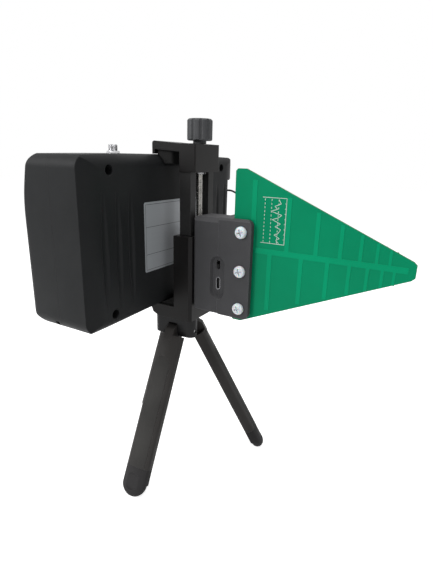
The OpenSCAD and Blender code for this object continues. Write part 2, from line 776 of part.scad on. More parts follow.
// Long shallow groove that fades at both ends, cut as by a large wheel with sloping flanks
module groove_cut() {
    half = (groove_z[1] - groove_z[0]) / 2;
    wheel_r = (half * half + groove_depth * groove_depth) / (2 * groove_depth);
    w = groove_w / 2;
    floor_w = w / 3;
    translate([0, case_y1 + wheel_r - groove_depth, case_z + groove_z[0] + half]) rotate([0, 90, 0])
        rotate_extrude($fn = 720) polygon([[wheel_r, -floor_w], [wheel_r, floor_w],
            [wheel_r - 2 * groove_depth, 2 * w - floor_w], [wheel_r - 2 * groove_depth, floor_w - 2 * w]]);
}

module rear_case() {
    back_in = case_y1 - case_wall;
    color([0.16, 0.16, 0.17]) place() difference() {
        union() {
            difference() {
                case_blank();
                case_hollow();
                box([-far, case_y0 - 1, 0], [far, seam_y, far]);
            }
            intersection() {
                case_screw_places() rod_y(seam_y, back_in + eps, boss_r);
                case_form(0);
            }
            for (x = [-1, 1], z = [-1, 1]) translate([x * standoff[0], 0, case_z + z * standoff[1]])
                rod_y(pcb_y1, back_in + eps, 3);
        }
        case_screw_places() {
            rod_y(case_y1 - case_screw_sink, case_y1 + 1, case_screw_head + 0.3);
            rod_y(seam_y - 1, case_y1, 1.6);
        }
        for (s = [-1, 1], x = groove_x) translate([s * x, 0, 0]) groove_cut();
        along_y(case_y1 - label_t, case_y1 + 1) translate([0, label_z])
            round_rect([-label_w / 2 - seat, -label_h / 2 - seat], [label_w / 2 + seat, label_h / 2 + seat], 1.5);
        case_ports();
    }
}

module front_case() {
    color([0.17, 0.17, 0.18]) place() difference() {
        union() {
            difference() {
                case_blank();
                case_hollow();
                box([-far, seam_y, 0], [far, case_y1 + 1, far]);
            }
            intersection() {
                case_screw_places() rod_y(case_y0, seam_y, front_boss_r);
                case_form(0);
            }
        }
        case_screw_places() rod_y(seam_y - 10, seam_y + 1, 1.3);
        on_glass() {
            along_y(-case_front_t, glass_t)
                round_rect([-glass_w / 2 - seat, -glass_h / 2 - seat], [glass_w / 2 + seat, glass_h / 2 + seat], glass_corner);
            along_y(0, glass_t + glass_ledge + 1)
                square([glass_w - 2 * glass_frame, glass_h - 2 * glass_frame], center = true);
        }
        case_ports();
        box([case_x - 4, seam_y - 6, case_z0 - 1], [case_x + 1, seam_y - 2.5, case_z0 + 5.5]);
    }
}

module rating_label() {
    color([0.6, 0.62, 0.64]) place() along_y(case_y1 - label_t, case_y1) translate([0, label_z])
        round_rect([-label_w / 2, -label_h / 2], [label_w / 2, label_h / 2], 1.5);
}

module display_glass() {
    color([0.03, 0.03, 0.04]) place() on_glass() along_y(0, glass_t)
        round_rect([-glass_w / 2, -glass_h / 2], [glass_w / 2, glass_h / 2], glass_corner);
}

module display_panel() {
    y0 = glass_t + glass_ledge;
    color([0.3, 0.32, 0.35]) place() on_glass() box([-glass_w / 2 + 1, y0, -glass_h / 2 + 2.5],
        [glass_w / 2 - 1, y0 + panel_t, glass_h / 2 - 2.5]);
}

module main_board() {
    color([0.05, 0.3, 0.2]) place() {
        difference() {
            union() {
                box([-pcb_x, pcb_y0, case_z - pcb_z], [pcb_x, pcb_y1, case_z + pcb_z]);
                box([-recess_x + case_wall + 0.2, pcb_y0, case_z + pcb_tab_z[0]], [-pcb_x + 1, pcb_y1, case_z + pcb_tab_z[1]]);
            }
            for (x = [-1, 1], z = [-1, 1]) translate([x * standoff[0], 0, case_z + z * standoff[1]])
                rod_y(pcb_y0 - 1, pcb_y1 + 1, 1.2);
        }
    }
}

module battery() {
    color([0.75, 0.75, 0.78]) place() along_y(case_y1 - case_wall - battery_size[1], case_y1 - case_wall)
        translate([0, case_z]) round_rect([-battery_size[0] / 2, -battery_size[2] / 2],
            [battery_size[0] / 2, battery_size[2] / 2], 3);
}

module case_screws() {
    color([0.3, 0.3, 0.32]) place() case_screw_places() {
        rod_y(seam_y - 8, case_y1 - case_screw_sink + 0.5, 1.25);
        difference() {
            rod_y(case_y1 - case_screw_sink, case_y1 - case_screw_sink + 2, case_screw_head);
            for (a = [0, 90]) rotate([0, a, 0])
                box([-1.7, case_y1 - case_screw_sink + 0.9, -0.35], [1.7, case_y1, 0.35]);
        }
    }
}

module side_rf_jack() {
    color([0.8, 0.7, 0.4]) place() translate([-recess_x, seam_y, side_jack_z]) rotate([0, -90, 0]) rf_jack();
}

module top_rf_jack() {
    color([0.8, 0.8, 0.8]) place() translate([top_jack_x, seam_y, top_jack_z]) rf_jack();
}

module usb_socket() {
    color([0.7, 0.7, 0.72]) place() translate([-recess_x + 0.1, pcb_y0 - usb_size[1] / 2, side_usb_z])
        mirror([1, 0, 0]) usb_shell();
}

// Slide switch's case on the front of the main board, open where its lever slides
module power_switch_case() {
    x = -recess_x + case_wall + 0.2;
    color([0.1, 0.1, 0.1]) place() difference() {
        box([x, pcb_y0 - 4.4, switch_z - 4], [x + 4, pcb_y0, switch_z + 4 + switch_travel]);
        box([x - 1, seam_y - 1.4, switch_z - 2.3], [x + 3, seam_y + 1.4, switch_z + 2.3 + switch_travel]);
    }
}

module power_switch() {
    color([0.1, 0.1, 0.1]) place()
        box([-recess_x - 1.4, seam_y - 1.1, switch_z - 2], [-recess_x + case_wall + 3, seam_y + 1.1, switch_z + 2]);
}

// ---------------------------------------------------------------- antenna module

module module_form(y0, y1, h, in, rear_r, chamfer) {
    x0 = module_x0 + in;
    x1 = module_x1 - in;
    k = h / 2 - in;
    c = chamfer;
    intersection() {
        // Seen from the side
        along_x(x0, x1) translate([0, module_z]) difference() {
            translate([y0, -k]) square([y1 - y0, 2 * k]);
            children();
        }
        // Seen from the end: cut along the long edges
        along_y(y0, y1) translate([0, module_z]) polygon([[x0, -k + 1], [x0 + 1, -k], [x1 - 1, -k], [x1, -k + 1],
            [x1, k - c], [x1 - c, k], [x0 + c, k], [x0, k - c]]);
    }
}

// Removes the corner of a square so that a quarter circle is left
module corner_cut(x, y, sx, sy, r) {
    translate([x, y]) mirror([sx < 0 ? 1 : 0, 0]) mirror([0, sy < 0 ? 1 : 0]) difference() {
        translate([-1, -1]) square([r + 1, r + 1]);
        translate([r, r]) circle(r);
    }
}

// Pocket with sloping walls and round ends, and the openings in its floor
module pocket_cut() {
    straight = (pocket_h - pocket_w) / 2;
    floor_r = pocket_w / 2 - pocket_bevel;
    mouth_r = floor_r + pocket_bevel * (pocket_depth + 1) / pocket_depth;
    translate([pocket_x, pocket_y, pocket_z]) {
        for (s = [-1, 1]) translate([0, 0, s * straight]) rotate([0, 90, 0])
            cylinder(h = pocket_depth + 1, r1 = floor_r, r2 = mouth_r);
        along_z(-straight, straight) polygon([[0, -floor_r], [pocket_depth + 1, -mouth_r],
            [pocket_depth + 1, mouth_r], [0, floor_r]]);
    }
    along_x(module_x1 - 8, module_x1 + 1) translate([amp_y1 + usb_size[1] / 2, usb_z])
        slot_2d(usb_size[1] + 0.4, usb_size[2] + 0.4);
    box([module_x1 - 8, amp_y1 + 0.3, bias_z - 2.9], [module_x1 + 1, amp_y1 + 2.9, bias_z + 2.9]);
}

module pocket_boss() {
    along_x(pocket_x - 1.7, module_x1 - 1) translate([pocket_y, pocket_z])
        slot_2d(pocket_w + 1, pocket_h + 1);
}

module module_rear_shell() {
    h = rear_shell_h;
    color([0.25, 0.25, 0.26]) place() difference() {
        union() {
            difference() {
                module_form(module_y0, module_seam, h, 0, 3, module_chamfer) {
                    corner_cut(module_y0, -h / 2, 1, 1, 5);
                    corner_cut(module_y0, h / 2, 1, -1, 3);
                }
                module_form(module_y0 + module_wall, module_seam + 1, h, module_wall, 1, module_chamfer) {}
            }
            intersection() {
                pocket_boss();
                box([module_x0, module_y0, 0], [module_x1, module_seam, far]);
            }
            for (x = [module_x0 + 5, module_x1 - 6], z = [-1, 1]) translate([x, 0, module_z + z * (h / 2 - 6)])
                rod_y(module_y0 + 1, amp_y1 - amp_t, 2);
            for (z = mount_screw_z) translate([mount_screw_x, 0, module_z + z])
                rod_y(module_y0 + 1, module_y0 + module_wall + 1.5, 4);
        }
        pocket_cut();
        for (z = mount_screw_z) translate([mount_screw_x, 0, module_z + z])
            rod_y(module_y0 - 1, module_y0 + 10, 1.6);
        translate([0, jack_y, jack_z]) rod_x(module_x0 - 1, module_x0 + 4, jack_hole_r);
        // Cut along the two edges of the rear corner that faces out
        translate([module_x1, module_y0, 0]) rotate(45) cube([2.4, 2.4, 2 * far], center = true);
    }
}

module module_front_shell() {
    h = front_shell_h;
    k = h / 2 - module_wall;
    color([0.26, 0.26, 0.27]) place() difference() {
        union() {
            difference() {
                module_form(module_seam, module_y1, h, 0, 3, 1.4) {
                    corner_cut(module_y1, h / 2, -1, -1, 4);
                    corner_cut(module_y1, -h / 2, -1, 1, 5);
                    corner_cut(module_seam, -h / 2, 1, 1, 1.5);
                }
                box([module_x0 + module_wall, module_seam - 1, module_z - k],
                    [module_x1 - module_wall, board_y0 - module_wall, module_z + k]);
                box([module_x0 + module_wall, module_seam - 1, module_z - k],
                    [board_x0 - module_wall, module_y1 - module_wall, module_z + k]);
            }
            intersection() {
                pocket_boss();
                box([module_x0, module_seam, 0], [module_x1, board_y0, far]);
            }
            nylon_places() rod_x(module_x0 + 1, board_x0 - 1, nylon_r + 2);
        }
        pocket_cut();
        box([board_x0 - seat, board_y0 - seat, 0], [board_x1 + seat, module_y1 + 1, far]);
        nylon_places() {
            rod_x(module_x0 + 3, board_x0, nylon_r + seat);
            rod_x(board_x0 - 1, module_x1 + 1, nylon_r + 0.2);
        }
    }
}

module nylon_places() {
    for (i = [-1:1]) translate([0, nylon_y, module_z - 0.3 + i * nylon_pitch]) children();
}

module amplifier_board() {
    color([0.05, 0.35, 0.22]) place() difference() {
        box([module_x0 + module_wall + 0.3, amp_y1 - amp_t, module_z - rear_shell_h / 2 + module_wall + 2.3],
            [pocket_x - 1.9, amp_y1, module_z + rear_shell_h / 2 - module_wall - 4.3]);
        for (x = [module_x0 + 5, module_x1 - 6], z = [-1, 1])
            translate([x, 0, module_z + z * (rear_shell_h / 2 - 6)]) rod_y(amp_y1 - amp_t - 1, amp_y1 + 1, 0.8);
    }
}

module module_usb_socket() {
    color([0.7, 0.7, 0.72]) place() translate([pocket_x - 0.2, amp_y1 + usb_size[1] / 2, usb_z]) usb_shell();
}

module bias_switch_case() {
    color([0.1, 0.1, 0.1]) place() difference() {
        box([pocket_x - 6, amp_y1, bias_z - 4.5], [pocket_x - 1.9, amp_y1 + 3.4, bias_z + 4.5]);
        box([pocket_x - 4.5, amp_y1 + 0.5, bias_z - 2.6], [pocket_x, amp_y1 + 2.8, bias_z + 2.6]);
    }
}

module bias_switch() {
    color([0.05, 0.05, 0.05]) place()
        box([pocket_x - 4.4, amp_y1 + 0.8, bias_z - 2.3], [pocket_x + 0.9, amp_y1 + 2.5, bias_z + 0.3]);
}

module module_rf_jack() {
    color([0.8, 0.7, 0.4]) place() translate([module_x0, jack_y, jack_z]) rotate([0, -90, 0]) rf_jack();
}

module nylon_screws() {
    color([0.92, 0.93, 0.94]) place() nylon_places() {
        rod_x(module_x0 + 5, module_x1 + eps, nylon_r);
        difference() {
            rotate([0, 90, 0]) translate([0, 0, module_x1]) rotate_extrude() polygon([[0, 0], [nylon_head_d / 2, 0],
                [nylon_head_d / 2, 1.4], [nylon_head_d / 2 - 0.5, 2.1], [nylon_head_d / 2 - 1.4, 2.5], [0, 2.6]]);
            for (a = [20, 110]) rotate([a, 0, 0]) box([module_x1 + 1.2, -0.45, -2.3], [module_x1 + 4, 0.45, 2.3]);
        }
    }
}

module module_screws() {
    color([0.4, 0.4, 0.42]) place() for (z = mount_screw_z) translate([mount_screw_x, 0, module_z + z]) {
        rod_y(clamp_y1 - 7, module_y0 + module_wall + 1.6, 1.5);
        rod_y(module_y0 + module_wall + 1.5, module_y0 + module_wall + 4, 2.8);
    }
}

// ---------------------------------------------------------------- antenna board

module antenna_board() {
    h = board_h / 2;
    t = board_tip_h / 2;
    y = board_y0;
    r = 1.8;
    color([0, 0.5, 0.33]) place() difference() {
        along_x(board_x0, board_x1) translate([0, board_z]) polygon([[y, -h + 1.5], [y + 1.5, -h], [y + board_flat, -h],
            [board_y1 - r, -t], [board_y1, -t + r], [board_y1, t - r], [board_y1 - r, t],
            [y + board_flat, h], [y + 1.5, h], [y, h - 1.5]]);
        nylon_places() rod_x(board_x0 - 1, board_x1 + 1, nylon_r + 0.2);
    }
}

// One printed side: feed strip, and arms up and down at interleaved steps of the series
module copper_2d(up_step, down_step) {
    translate([module_y1 + 1, -feed_w / 2]) square([board_y1 - module_y1 - 5, feed_w]);
    for (k = [0:element_count - 1], side = [[1, up_step], [-1, down_step]]) {
        g = pow(element_ratio, k + side[1]);
        y = element_y + apex * (1 - g);
        w = element_w * sqrt(g);
        l = element_len * g;
        translate([y - w / 2, side[0] > 0 ? 0 : -l]) square([w, l]);
    }
}

module front_copper() {
    color([0.1, 0.62, 0.42]) place() intersection() {
        along_x(board_x1, board_x1 + copper_t) translate([0, board_z]) copper_2d(0, 0.5);
        union() {
            box([0, module_y1 + 0.2, 0], [far, board_y1, far]);
            box([0, module_y0, module_z + front_shell_h / 2 + 0.3], [far, board_y1, far]);
        }
    }
}

module back_copper() {
    color([0.1, 0.62, 0.42]) place() intersection() {
        along_x(board_x0 - copper_t, board_x0) translate([0, board_z]) copper_2d(0.5, 0);
        box([-far, module_y1 + 0.2, 0], [far, board_y1, far]);
    }
}

// ---------------------------------------------------------------- coax lead

// Moves a piece drawn along +Z onto the analyser's or the module's jack
module on_side_jack() {
    translate([-recess_x, seam_y, side_jack_z]) rotate([0, -90, 0]) children();
}
module on_module_jack() {
    translate([module_x0, jack_y, jack_z]) rotate([0, -90, 0]) children();
}

module plug_nut() {
    translate([0, 0, jack_nut_t + plug_gap]) difference() {
        rotate(30) cylinder(h = plug_nut_l, d = nut_flat / cos(30), $fn = 6);
        translate([0, 0, -1]) cylinder(h = plug_nut_l + 2, r = jack_r + seat);
    }
}

module plug_nuts() {
    color([0.8, 0.68, 0.36]) place() {
        on_side_jack() plug_nut();
        on_module_jack() plug_nut();
    }
}

// Front end of a plug, held in its nut
module plug_neck() {
    translate([0, 0, jack_len + plug_gap]) cylinder(h = plug_z - jack_len + 0.2, r = jack_r - 0.2);
}

// Elbow plug on the analyser's side jack, its cable leaving towards +Y
module elbow_plug() {
    start = LEAD_ROUTE[0];
    half = 3.3;
    color([0.75, 0.62, 0.32]) place() {
        on_side_jack() plug_neck();
        box([start[0] - half, seam_y - half, side_jack_z - half],
            [-recess_x - plug_z - plug_gap, seam_y + half, side_jack_z + half]);
        translate([start[0], 0, side_jack_z]) rod_y(seam_y + half - eps, start[1] + origin_y, 1.9);
    }
}

// Straight plug on the module's jack
module straight_plug() {
    end = LEAD_ROUTE[len(LEAD_ROUTE) - 1];
    color([0.75, 0.62, 0.32]) place() {
        on_module_jack() {
            plug_neck();
            translate([0, 0, plug_z + plug_gap]) cylinder(h = 3.5, r = 3.3);
        }
        translate([0, jack_y, jack_z]) rod_x(end[0], module_x0 - plug_z - 3.5, 1.9);
    }
}

function unit(v) = v / norm(v);
function tangent(p, i) = unit(p[min(i + 1, len(p) - 1)] - p[max(i - 1, 0)]);

// One ring of a swept tube, square to the route
function ring(p, t, r, sides) =
    let (a = unit(cross(t, [0, 0, 1])), b = cross(t, a))
    [for (k = [0:sides - 1]) p + r * (cos(360 * k / sides) * a + sin(360 * k / sides) * b)];

module swept_tube(p, r, sides) {
    rings = [for (i = [0:len(p) - 1]) each ring(p[i], tangent(p, i), r, sides)];
    last = (len(p) - 1) * sides;
    polyhedron(rings, concat(
        [for (i = [0:len(p) - 2], k = [0:sides - 1]) let (m = (k + 1) % sides)
            [i * sides + k, i * sides + m, (i + 1) * sides + m, (i + 1) * sides + k]],
        [[for (k = [sides - 1:-1:0]) k]], [[for (k = [0:sides - 1]) last + k]]));
}

module antenna_lead() {
    color([0.05, 0.05, 0.05]) swept_tube(LEAD_ROUTE, lead_d / 2, 8);
}

// ---------------------------------------------------------------- nodes

tripod_hub();
leg(0);  // leg_a
leg(1);  // leg_b
leg(2);  // leg_c
grip(0);  // grip_a
grip(1);  // grip_b
grip(2);  // grip_c
foot(0);  // foot_a
foot(1);  // foot_b
foot(2);  // foot_c
hinge_pins();
stand_screw();
clamp_body();
lower_jaw_pad();
upper_jaw();
slide_rails();
upper_jaw_pad();
clamp_knob();
clamp_screw();
screw_clip();
clamp_nut();
rear_case();
front_case();
rating_label();
display_glass();
display_panel();
main_board();
battery();
case_screws();
side_rf_jack();
top_rf_jack();
usb_socket();
power_switch_case();
power_switch();
module_rear_shell();
module_front_shell();
amplifier_board();
module_usb_socket();
bias_switch_case();
bias_switch();
module_rf_jack();
nylon_screws();
module_screws();
antenna_board();
front_copper();
back_copper();
elbow_plug();
straight_plug();
plug_nuts();
antenna_lead();
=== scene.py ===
# %% [markdown]
# # A handheld radio analyser on a folding tripod
# The object is an analyser held in a screw clamp. A flat comb-shaped antenna stands on a
# small housing behind the clamp, and a short coax lead joins the two. The solid parts come
# ready made and stay as they are. This lesson dresses them: it gives each one a procedural
# finish and adds the fine pieces that solids leave out, such as threads, seams and printed
# lines. We start by loading the parts and keeping their overall size.

import json
import math

import bmesh
import bpy
from mathutils import Matrix, Vector


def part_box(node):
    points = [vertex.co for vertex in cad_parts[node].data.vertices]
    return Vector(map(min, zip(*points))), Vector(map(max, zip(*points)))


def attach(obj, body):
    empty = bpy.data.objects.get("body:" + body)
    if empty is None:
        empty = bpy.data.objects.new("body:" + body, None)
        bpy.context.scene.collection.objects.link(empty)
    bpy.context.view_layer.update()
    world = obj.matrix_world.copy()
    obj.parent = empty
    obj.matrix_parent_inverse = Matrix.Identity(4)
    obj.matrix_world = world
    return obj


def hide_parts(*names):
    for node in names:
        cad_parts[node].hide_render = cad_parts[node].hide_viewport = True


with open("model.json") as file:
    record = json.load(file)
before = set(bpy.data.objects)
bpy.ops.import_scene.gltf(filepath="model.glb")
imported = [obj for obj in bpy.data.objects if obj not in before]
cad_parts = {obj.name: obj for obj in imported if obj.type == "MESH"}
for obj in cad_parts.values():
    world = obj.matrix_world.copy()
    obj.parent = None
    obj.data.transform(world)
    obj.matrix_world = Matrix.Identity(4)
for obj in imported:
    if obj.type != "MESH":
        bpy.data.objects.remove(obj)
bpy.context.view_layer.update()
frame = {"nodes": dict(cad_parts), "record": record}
scene = bpy.context.scene
scene.view_settings.view_transform = "Standard"
MM = 0.001

# %% [markdown]
# ## The camera
# The camera stands behind and to the side of the object, a little above it, and looks down
# by about 17 degrees. A camera object looks along its own -Z axis, so its matrix is written
# straight from three directions: right, up and backwards. That leaves no doubt about roll,
# which Euler angles easily hide. The lens is wide, as in a close product picture.

# %% Camera
CAMERA_AT = Vector((0.26194, 0.131024, 0.243631))
LOOK = Vector((-0.83005, -0.47247, -0.29629)).normalized()
UP = Vector((-0.24496, -0.16841, 0.95480))
LENS_MM = 26.36
SENSOR_MM = 36.0
right = LOOK.cross(UP).normalized()
up = right.cross(LOOK)

camera_data = bpy.data.cameras.new("camera")
camera_data.lens = LENS_MM
camera_data.sensor_width = SENSOR_MM
camera_data.clip_start = 10 * MM
camera = bpy.data.objects.new("camera", camera_data)
scene.collection.objects.link(camera)
turn = Matrix((right, up, -LOOK)).transposed().to_4x4()
camera.matrix_world = Matrix.Translation(CAMERA_AT) @ turn
scene.camera = camera
print("camera height:", round(CAMERA_AT.z, 3), "m")

# %% [markdown]
# ## The coax lead
# A thin coax lead leaves the elbow plug on the analyser, turns round the back of the case
# and ends in a straight plug on the antenna housing. A curve with a round bevel is the
# natural tool: its points are the route, and the bevel is the round jacket. Bezier points
# with automatic handles pass exactly through the route and keep it smooth. A curve's box
# reaches out by the radius of its points, which is one metre unless it is set. So the points
# carry the jacket's radius, and a bevel depth of one leaves that as it is.

# %% Lead
LEAD_ROUTE_MM = [
    (-97, -65.5, 214.2), (-97, -60.5, 214.2), (-95.5, -55.5, 213), (-93.5, -51, 211.5),
    (-91, -47, 210), (-88.5, -43, 208.5), (-85, -39.5, 206.5), (-82, -36.5, 204.5),
    (-78, -33.5, 203), (-74.5, -30.5, 201), (-70.5, -28, 199), (-66.5, -26, 197.5),
    (-62, -24, 196), (-57.5, -22, 194), (-53, -20.5, 193), (-48.5, -19, 191.5),
    (-43.5, -18, 190.5), (-38.5, -17, 190), (-33.5, -16.6, 189.2), (-28.5, -16.6, 189.2),
]
LEAD_RADIUS = 0.9 * MM

route = [Vector(p) * MM for p in LEAD_ROUTE_MM]
lead_curve = bpy.data.curves.new("coax_lead", "CURVE")
lead_curve.dimensions = "3D"
lead_curve.bevel_depth = 1.0
lead_curve.bevel_resolution = 5
lead_curve.resolution_u = 6
lead_curve.use_fill_caps = True
spline = lead_curve.splines.new("BEZIER")
spline.bezier_points.add(len(route) - 1)
for point, place in zip(spline.bezier_points, route):
    point.co = place
    point.radius = LEAD_RADIUS
    point.handle_left_type = point.handle_right_type = "AUTO"
coax_lead = bpy.data.objects.new("coax_lead", lead_curve)
scene.collection.objects.link(coax_lead)
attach(coax_lead, "stand")
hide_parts("antenna_lead")

# %% [markdown]
# ## Floor and light
# The object stands on a plain pale floor in soft studio light. The floor is a wide plane, a
# hair below the feet, so that the two never share a place.
# It is lit like any surface, so it keeps the shadow, and a little light of its own is added
# for rays that come from the camera, a reflection or a clear part, so that it ends up white.
# The world does the same above the horizon. Neither puts more light on the object.

# %% Floor and world
FLOOR_HALF = 4.0
FLOOR_DROP = 0.2 * MM
PAPER_GREY = 0.82
PAPER_GLOW = 0.8
WORLD_ON_OBJECT = 0.24
WORLD_SEEN = 1.0


def add_stage_plane(name, half, height):
    mesh = bpy.data.meshes.new(name)
    corners = [(x * half, y * half, height) for x, y in ((-1, -1), (1, -1), (1, 1), (-1, 1))]
    mesh.from_pydata(corners, [], [(0, 1, 2, 3)])
    obj = bpy.data.objects.new(name, mesh)
    scene.collection.objects.link(obj)
    return obj


def seen_ray(nodes, links):
    """One for camera, glossy and transmission rays, nought for the rays that light things."""
    path = nodes.new("ShaderNodeLightPath")
    total = path.outputs["Is Camera Ray"]
    for label in ("Is Glossy Ray", "Is Transmission Ray"):
        add = nodes.new("ShaderNodeMath")
        add.operation = "MAXIMUM"
        links.new(total, add.inputs[0])
        links.new(path.outputs[label], add.inputs[1])
        total = add.outputs[0]
    return total


floor = add_stage_plane("studio_floor", FLOOR_HALF, -FLOOR_DROP)
floor_paper = bpy.data.materials.new("floor_paper")
floor_paper.use_nodes = True
nodes, links = floor_paper.node_tree.nodes, floor_paper.node_tree.links
paper = nodes["Principled BSDF"]
paper.inputs["Base Color"].default_value = (PAPER_GREY, PAPER_GREY, PAPER_GREY, 1)
paper.inputs["Roughness"].default_value = 0.9
paper.inputs["Specular IOR Level"].default_value = 0.0
paper.inputs["Emission Color"].default_value = (1, 1, 1, 1)
glow = nodes.new("ShaderNodeMath")
glow.operation = "MULTIPLY"
glow.inputs[1].default_value = PAPER_GLOW
links.new(seen_ray(nodes, links), glow.inputs[0])
links.new(glow.outputs[0], paper.inputs["Emission Strength"])
floor.data.materials.append(floor_paper)

world = bpy.data.worlds.new("studio_world")
scene.world = world
world.use_nodes = True
nodes, links = world.node_tree.nodes, world.node_tree.links
strength = nodes.new("ShaderNodeMapRange")
strength.inputs["To Min"].default_value = WORLD_ON_OBJECT
strength.inputs["To Max"].default_value = WORLD_SEEN
links.new(seen_ray(nodes, links), strength.inputs["Value"])
links.new(strength.outputs["Result"], nodes["Background"].inputs["Strength"])
nodes["Background"].inputs["Color"].default_value = (1, 1, 1, 1)
print("floor half width:", FLOOR_HALF, "m")

# %% [markdown]
# Area lamps are softboxes. The key lamp stands beside the object, on the side of the case's
# free end, because that end is the lightest face while the long back stays dark. A top lamp
# gives the rising arm and the knob their light tops, and a weak fill keeps the legs readable.

# %% Softboxes
def softbox(name, at, aim, side, watts):
    """Square area lamp at a place, turned to shine at its aim."""
    data = bpy.data.lights.new(name, "AREA")
    data.shape = "RECTANGLE"
    data.size = data.size_y = side
    data.energy = watts
    obj = bpy.data.objects.new(name, data)
    obj.location = at
    obj.rotation_euler = (Vector(aim) - Vector(at)).to_track_quat("-Z", "Y").to_euler()
    scene.collection.objects.link(obj)


softbox("key_lamp", at=(0.9, -0.75, 0.75), aim=(0, -0.05, 0.17), side=0.7, watts=12.5)
softbox("top_lamp", at=(0.1, 0.1, 1.25), aim=(0, 0, 0.1), side=0.9, watts=8.0)
softbox("fill_lamp", at=(0.55, 1.1, 0.5), aim=(0, 0, 0.15), side=0.8, watts=1.2)

# %% [markdown]
# ## Shared effects
# Several finishes need the same three things: edges that aren't knife sharp, a grain with
# some unevenness, and a trace of dust. Each is built once as a node group with named inputs
# and outputs. A group only puts out masks, values and normals; the shader itself stays in
# each material, so that every material can be read on its own.

# %% Group helper
def new_group(name, inputs, outputs):
    """Empty shader group with float inputs (label, value) and outputs (label, socket type)."""
    tree = bpy.data.node_groups.new(name, "ShaderNodeTree")
    for label, value in inputs:
        socket = tree.interface.new_socket(label, in_out="INPUT", socket_type="NodeSocketFloat")
        socket.default_value = value
    for label, kind in outputs:
        tree.interface.new_socket(label, in_out="OUTPUT", socket_type=kind)
    return tree, tree.nodes.new("NodeGroupInput"), tree.nodes.new("NodeGroupOutput")


def math_node(tree, operation, a, b=None):
    """Math node whose inputs are numbers or sockets. Returns its output."""
    node = tree.nodes.new("ShaderNodeMath")
    node.operation = operation
    for socket, value in zip(node.inputs, (a, b)):
        if value is None:
            continue
        if isinstance(value, (int, float)):
            socket.default_value = value
        else:
            tree.links.new(value, socket)
    return node.outputs[0]


# %% [markdown]
# The bevel node bends the shading normal near an edge, as if the edge were slightly round.
# Where the bent normal and the real one differ we are at an edge, so one group gives both
# the soft normal and a mask for worn, paler edges.

# %% Worn edges group
BEVEL_SAMPLES = 4
EDGE_BREAK_SCALE = 900.0

edges, given, out = new_group("worn_edges", [("Radius", 0.4 * MM), ("Spread", 1.0)],
                              [("Normal", "NodeSocketVector"), ("Mask", "NodeSocketFloat")])
bevel = edges.nodes.new("ShaderNodeBevel")
bevel.samples = BEVEL_SAMPLES
edges.links.new(given.outputs["Radius"], bevel.inputs["Radius"])
geometry = edges.nodes.new("ShaderNodeNewGeometry")
agree = edges.nodes.new("ShaderNodeVectorMath")
agree.operation = "DOT_PRODUCT"
edges.links.new(bevel.outputs["Normal"], agree.inputs[0])
edges.links.new(geometry.outputs["Normal"], agree.inputs[1])
differ = math_node(edges, "SUBTRACT", 1.0, agree.outputs["Value"])
wide = math_node(edges, "MULTIPLY", differ, given.outputs["Spread"])
broken = edges.nodes.new("ShaderNodeTexNoise")
broken.inputs["Scale"].default_value = EDGE_BREAK_SCALE
coords = edges.nodes.new("ShaderNodeTexCoord")
edges.links.new(coords.outputs["Object"], broken.inputs["Vector"])
mask = math_node(edges, "MULTIPLY", wide, broken.outputs["Fac"])
mask = math_node(edges, "MINIMUM", mask, 1.0)
edges.links.new(bevel.outputs["Normal"], out.inputs["Normal"])
edges.links.new(mask, out.inputs["Mask"])
print("group:", edges.name)

# %% [markdown]
# Moulded plastic, rubber and paint all have a fine grain, and over a few centimetres they
# are never quite even. Two noises do this: a fine one gives the height of the grain, and a
# coarse one gives the unevenness. Object coordinates are metres here, so a scale of 2000
# means features of about half a millimetre.

# %% Grain group
PATCH_RANGE = (0.3, 0.7)

grain, given, out = new_group("fine_grain", [("Scale", 2200.0), ("Patch Scale", 28.0)],
                              [("Height", "NodeSocketFloat"), ("Unevenness", "NodeSocketFloat")])
coords = grain.nodes.new("ShaderNodeTexCoord")
pits = grain.nodes.new("ShaderNodeTexVoronoi")
pits.feature = "SMOOTH_F1"
pits.inputs["Smoothness"].default_value = 0.6
fine = grain.nodes.new("ShaderNodeTexNoise")
fine.inputs["Detail"].default_value = 3.0
patch = grain.nodes.new("ShaderNodeTexNoise")
patch.inputs["Detail"].default_value = 4.0
patch.inputs["Roughness"].default_value = 0.6
for texture, label in ((pits, "Scale"), (fine, "Scale"), (patch, "Patch Scale")):
    grain.links.new(coords.outputs["Object"], texture.inputs["Vector"])
    grain.links.new(given.outputs[label], texture.inputs["Scale"])
height = math_node(grain, "MULTIPLY", pits.outputs["Distance"], fine.outputs["Fac"])
grain.links.new(height, out.inputs["Height"])
spread = grain.nodes.new("ShaderNodeMapRange")
spread.inputs["From Min"].default_value, spread.inputs["From Max"].default_value = PATCH_RANGE
grain.links.new(patch.outputs["Fac"], spread.inputs["Value"])
grain.links.new(spread.outputs["Result"], out.inputs["Unevenness"])
print("group:", grain.name)

# %% [markdown]
# Dust settles on what faces up. The upward part of the surface normal gives the place, and
# two textures break it into specks and faint clouds. Steep faces still keep a little.

# %% Dust group
SPECK_SCALE, SPECK_SIZE, SPECK_WEIGHT = 420.0, 0.13, 0.8
CLOUD_SCALE = 60.0
DUST_ON_STEEP = 0.08

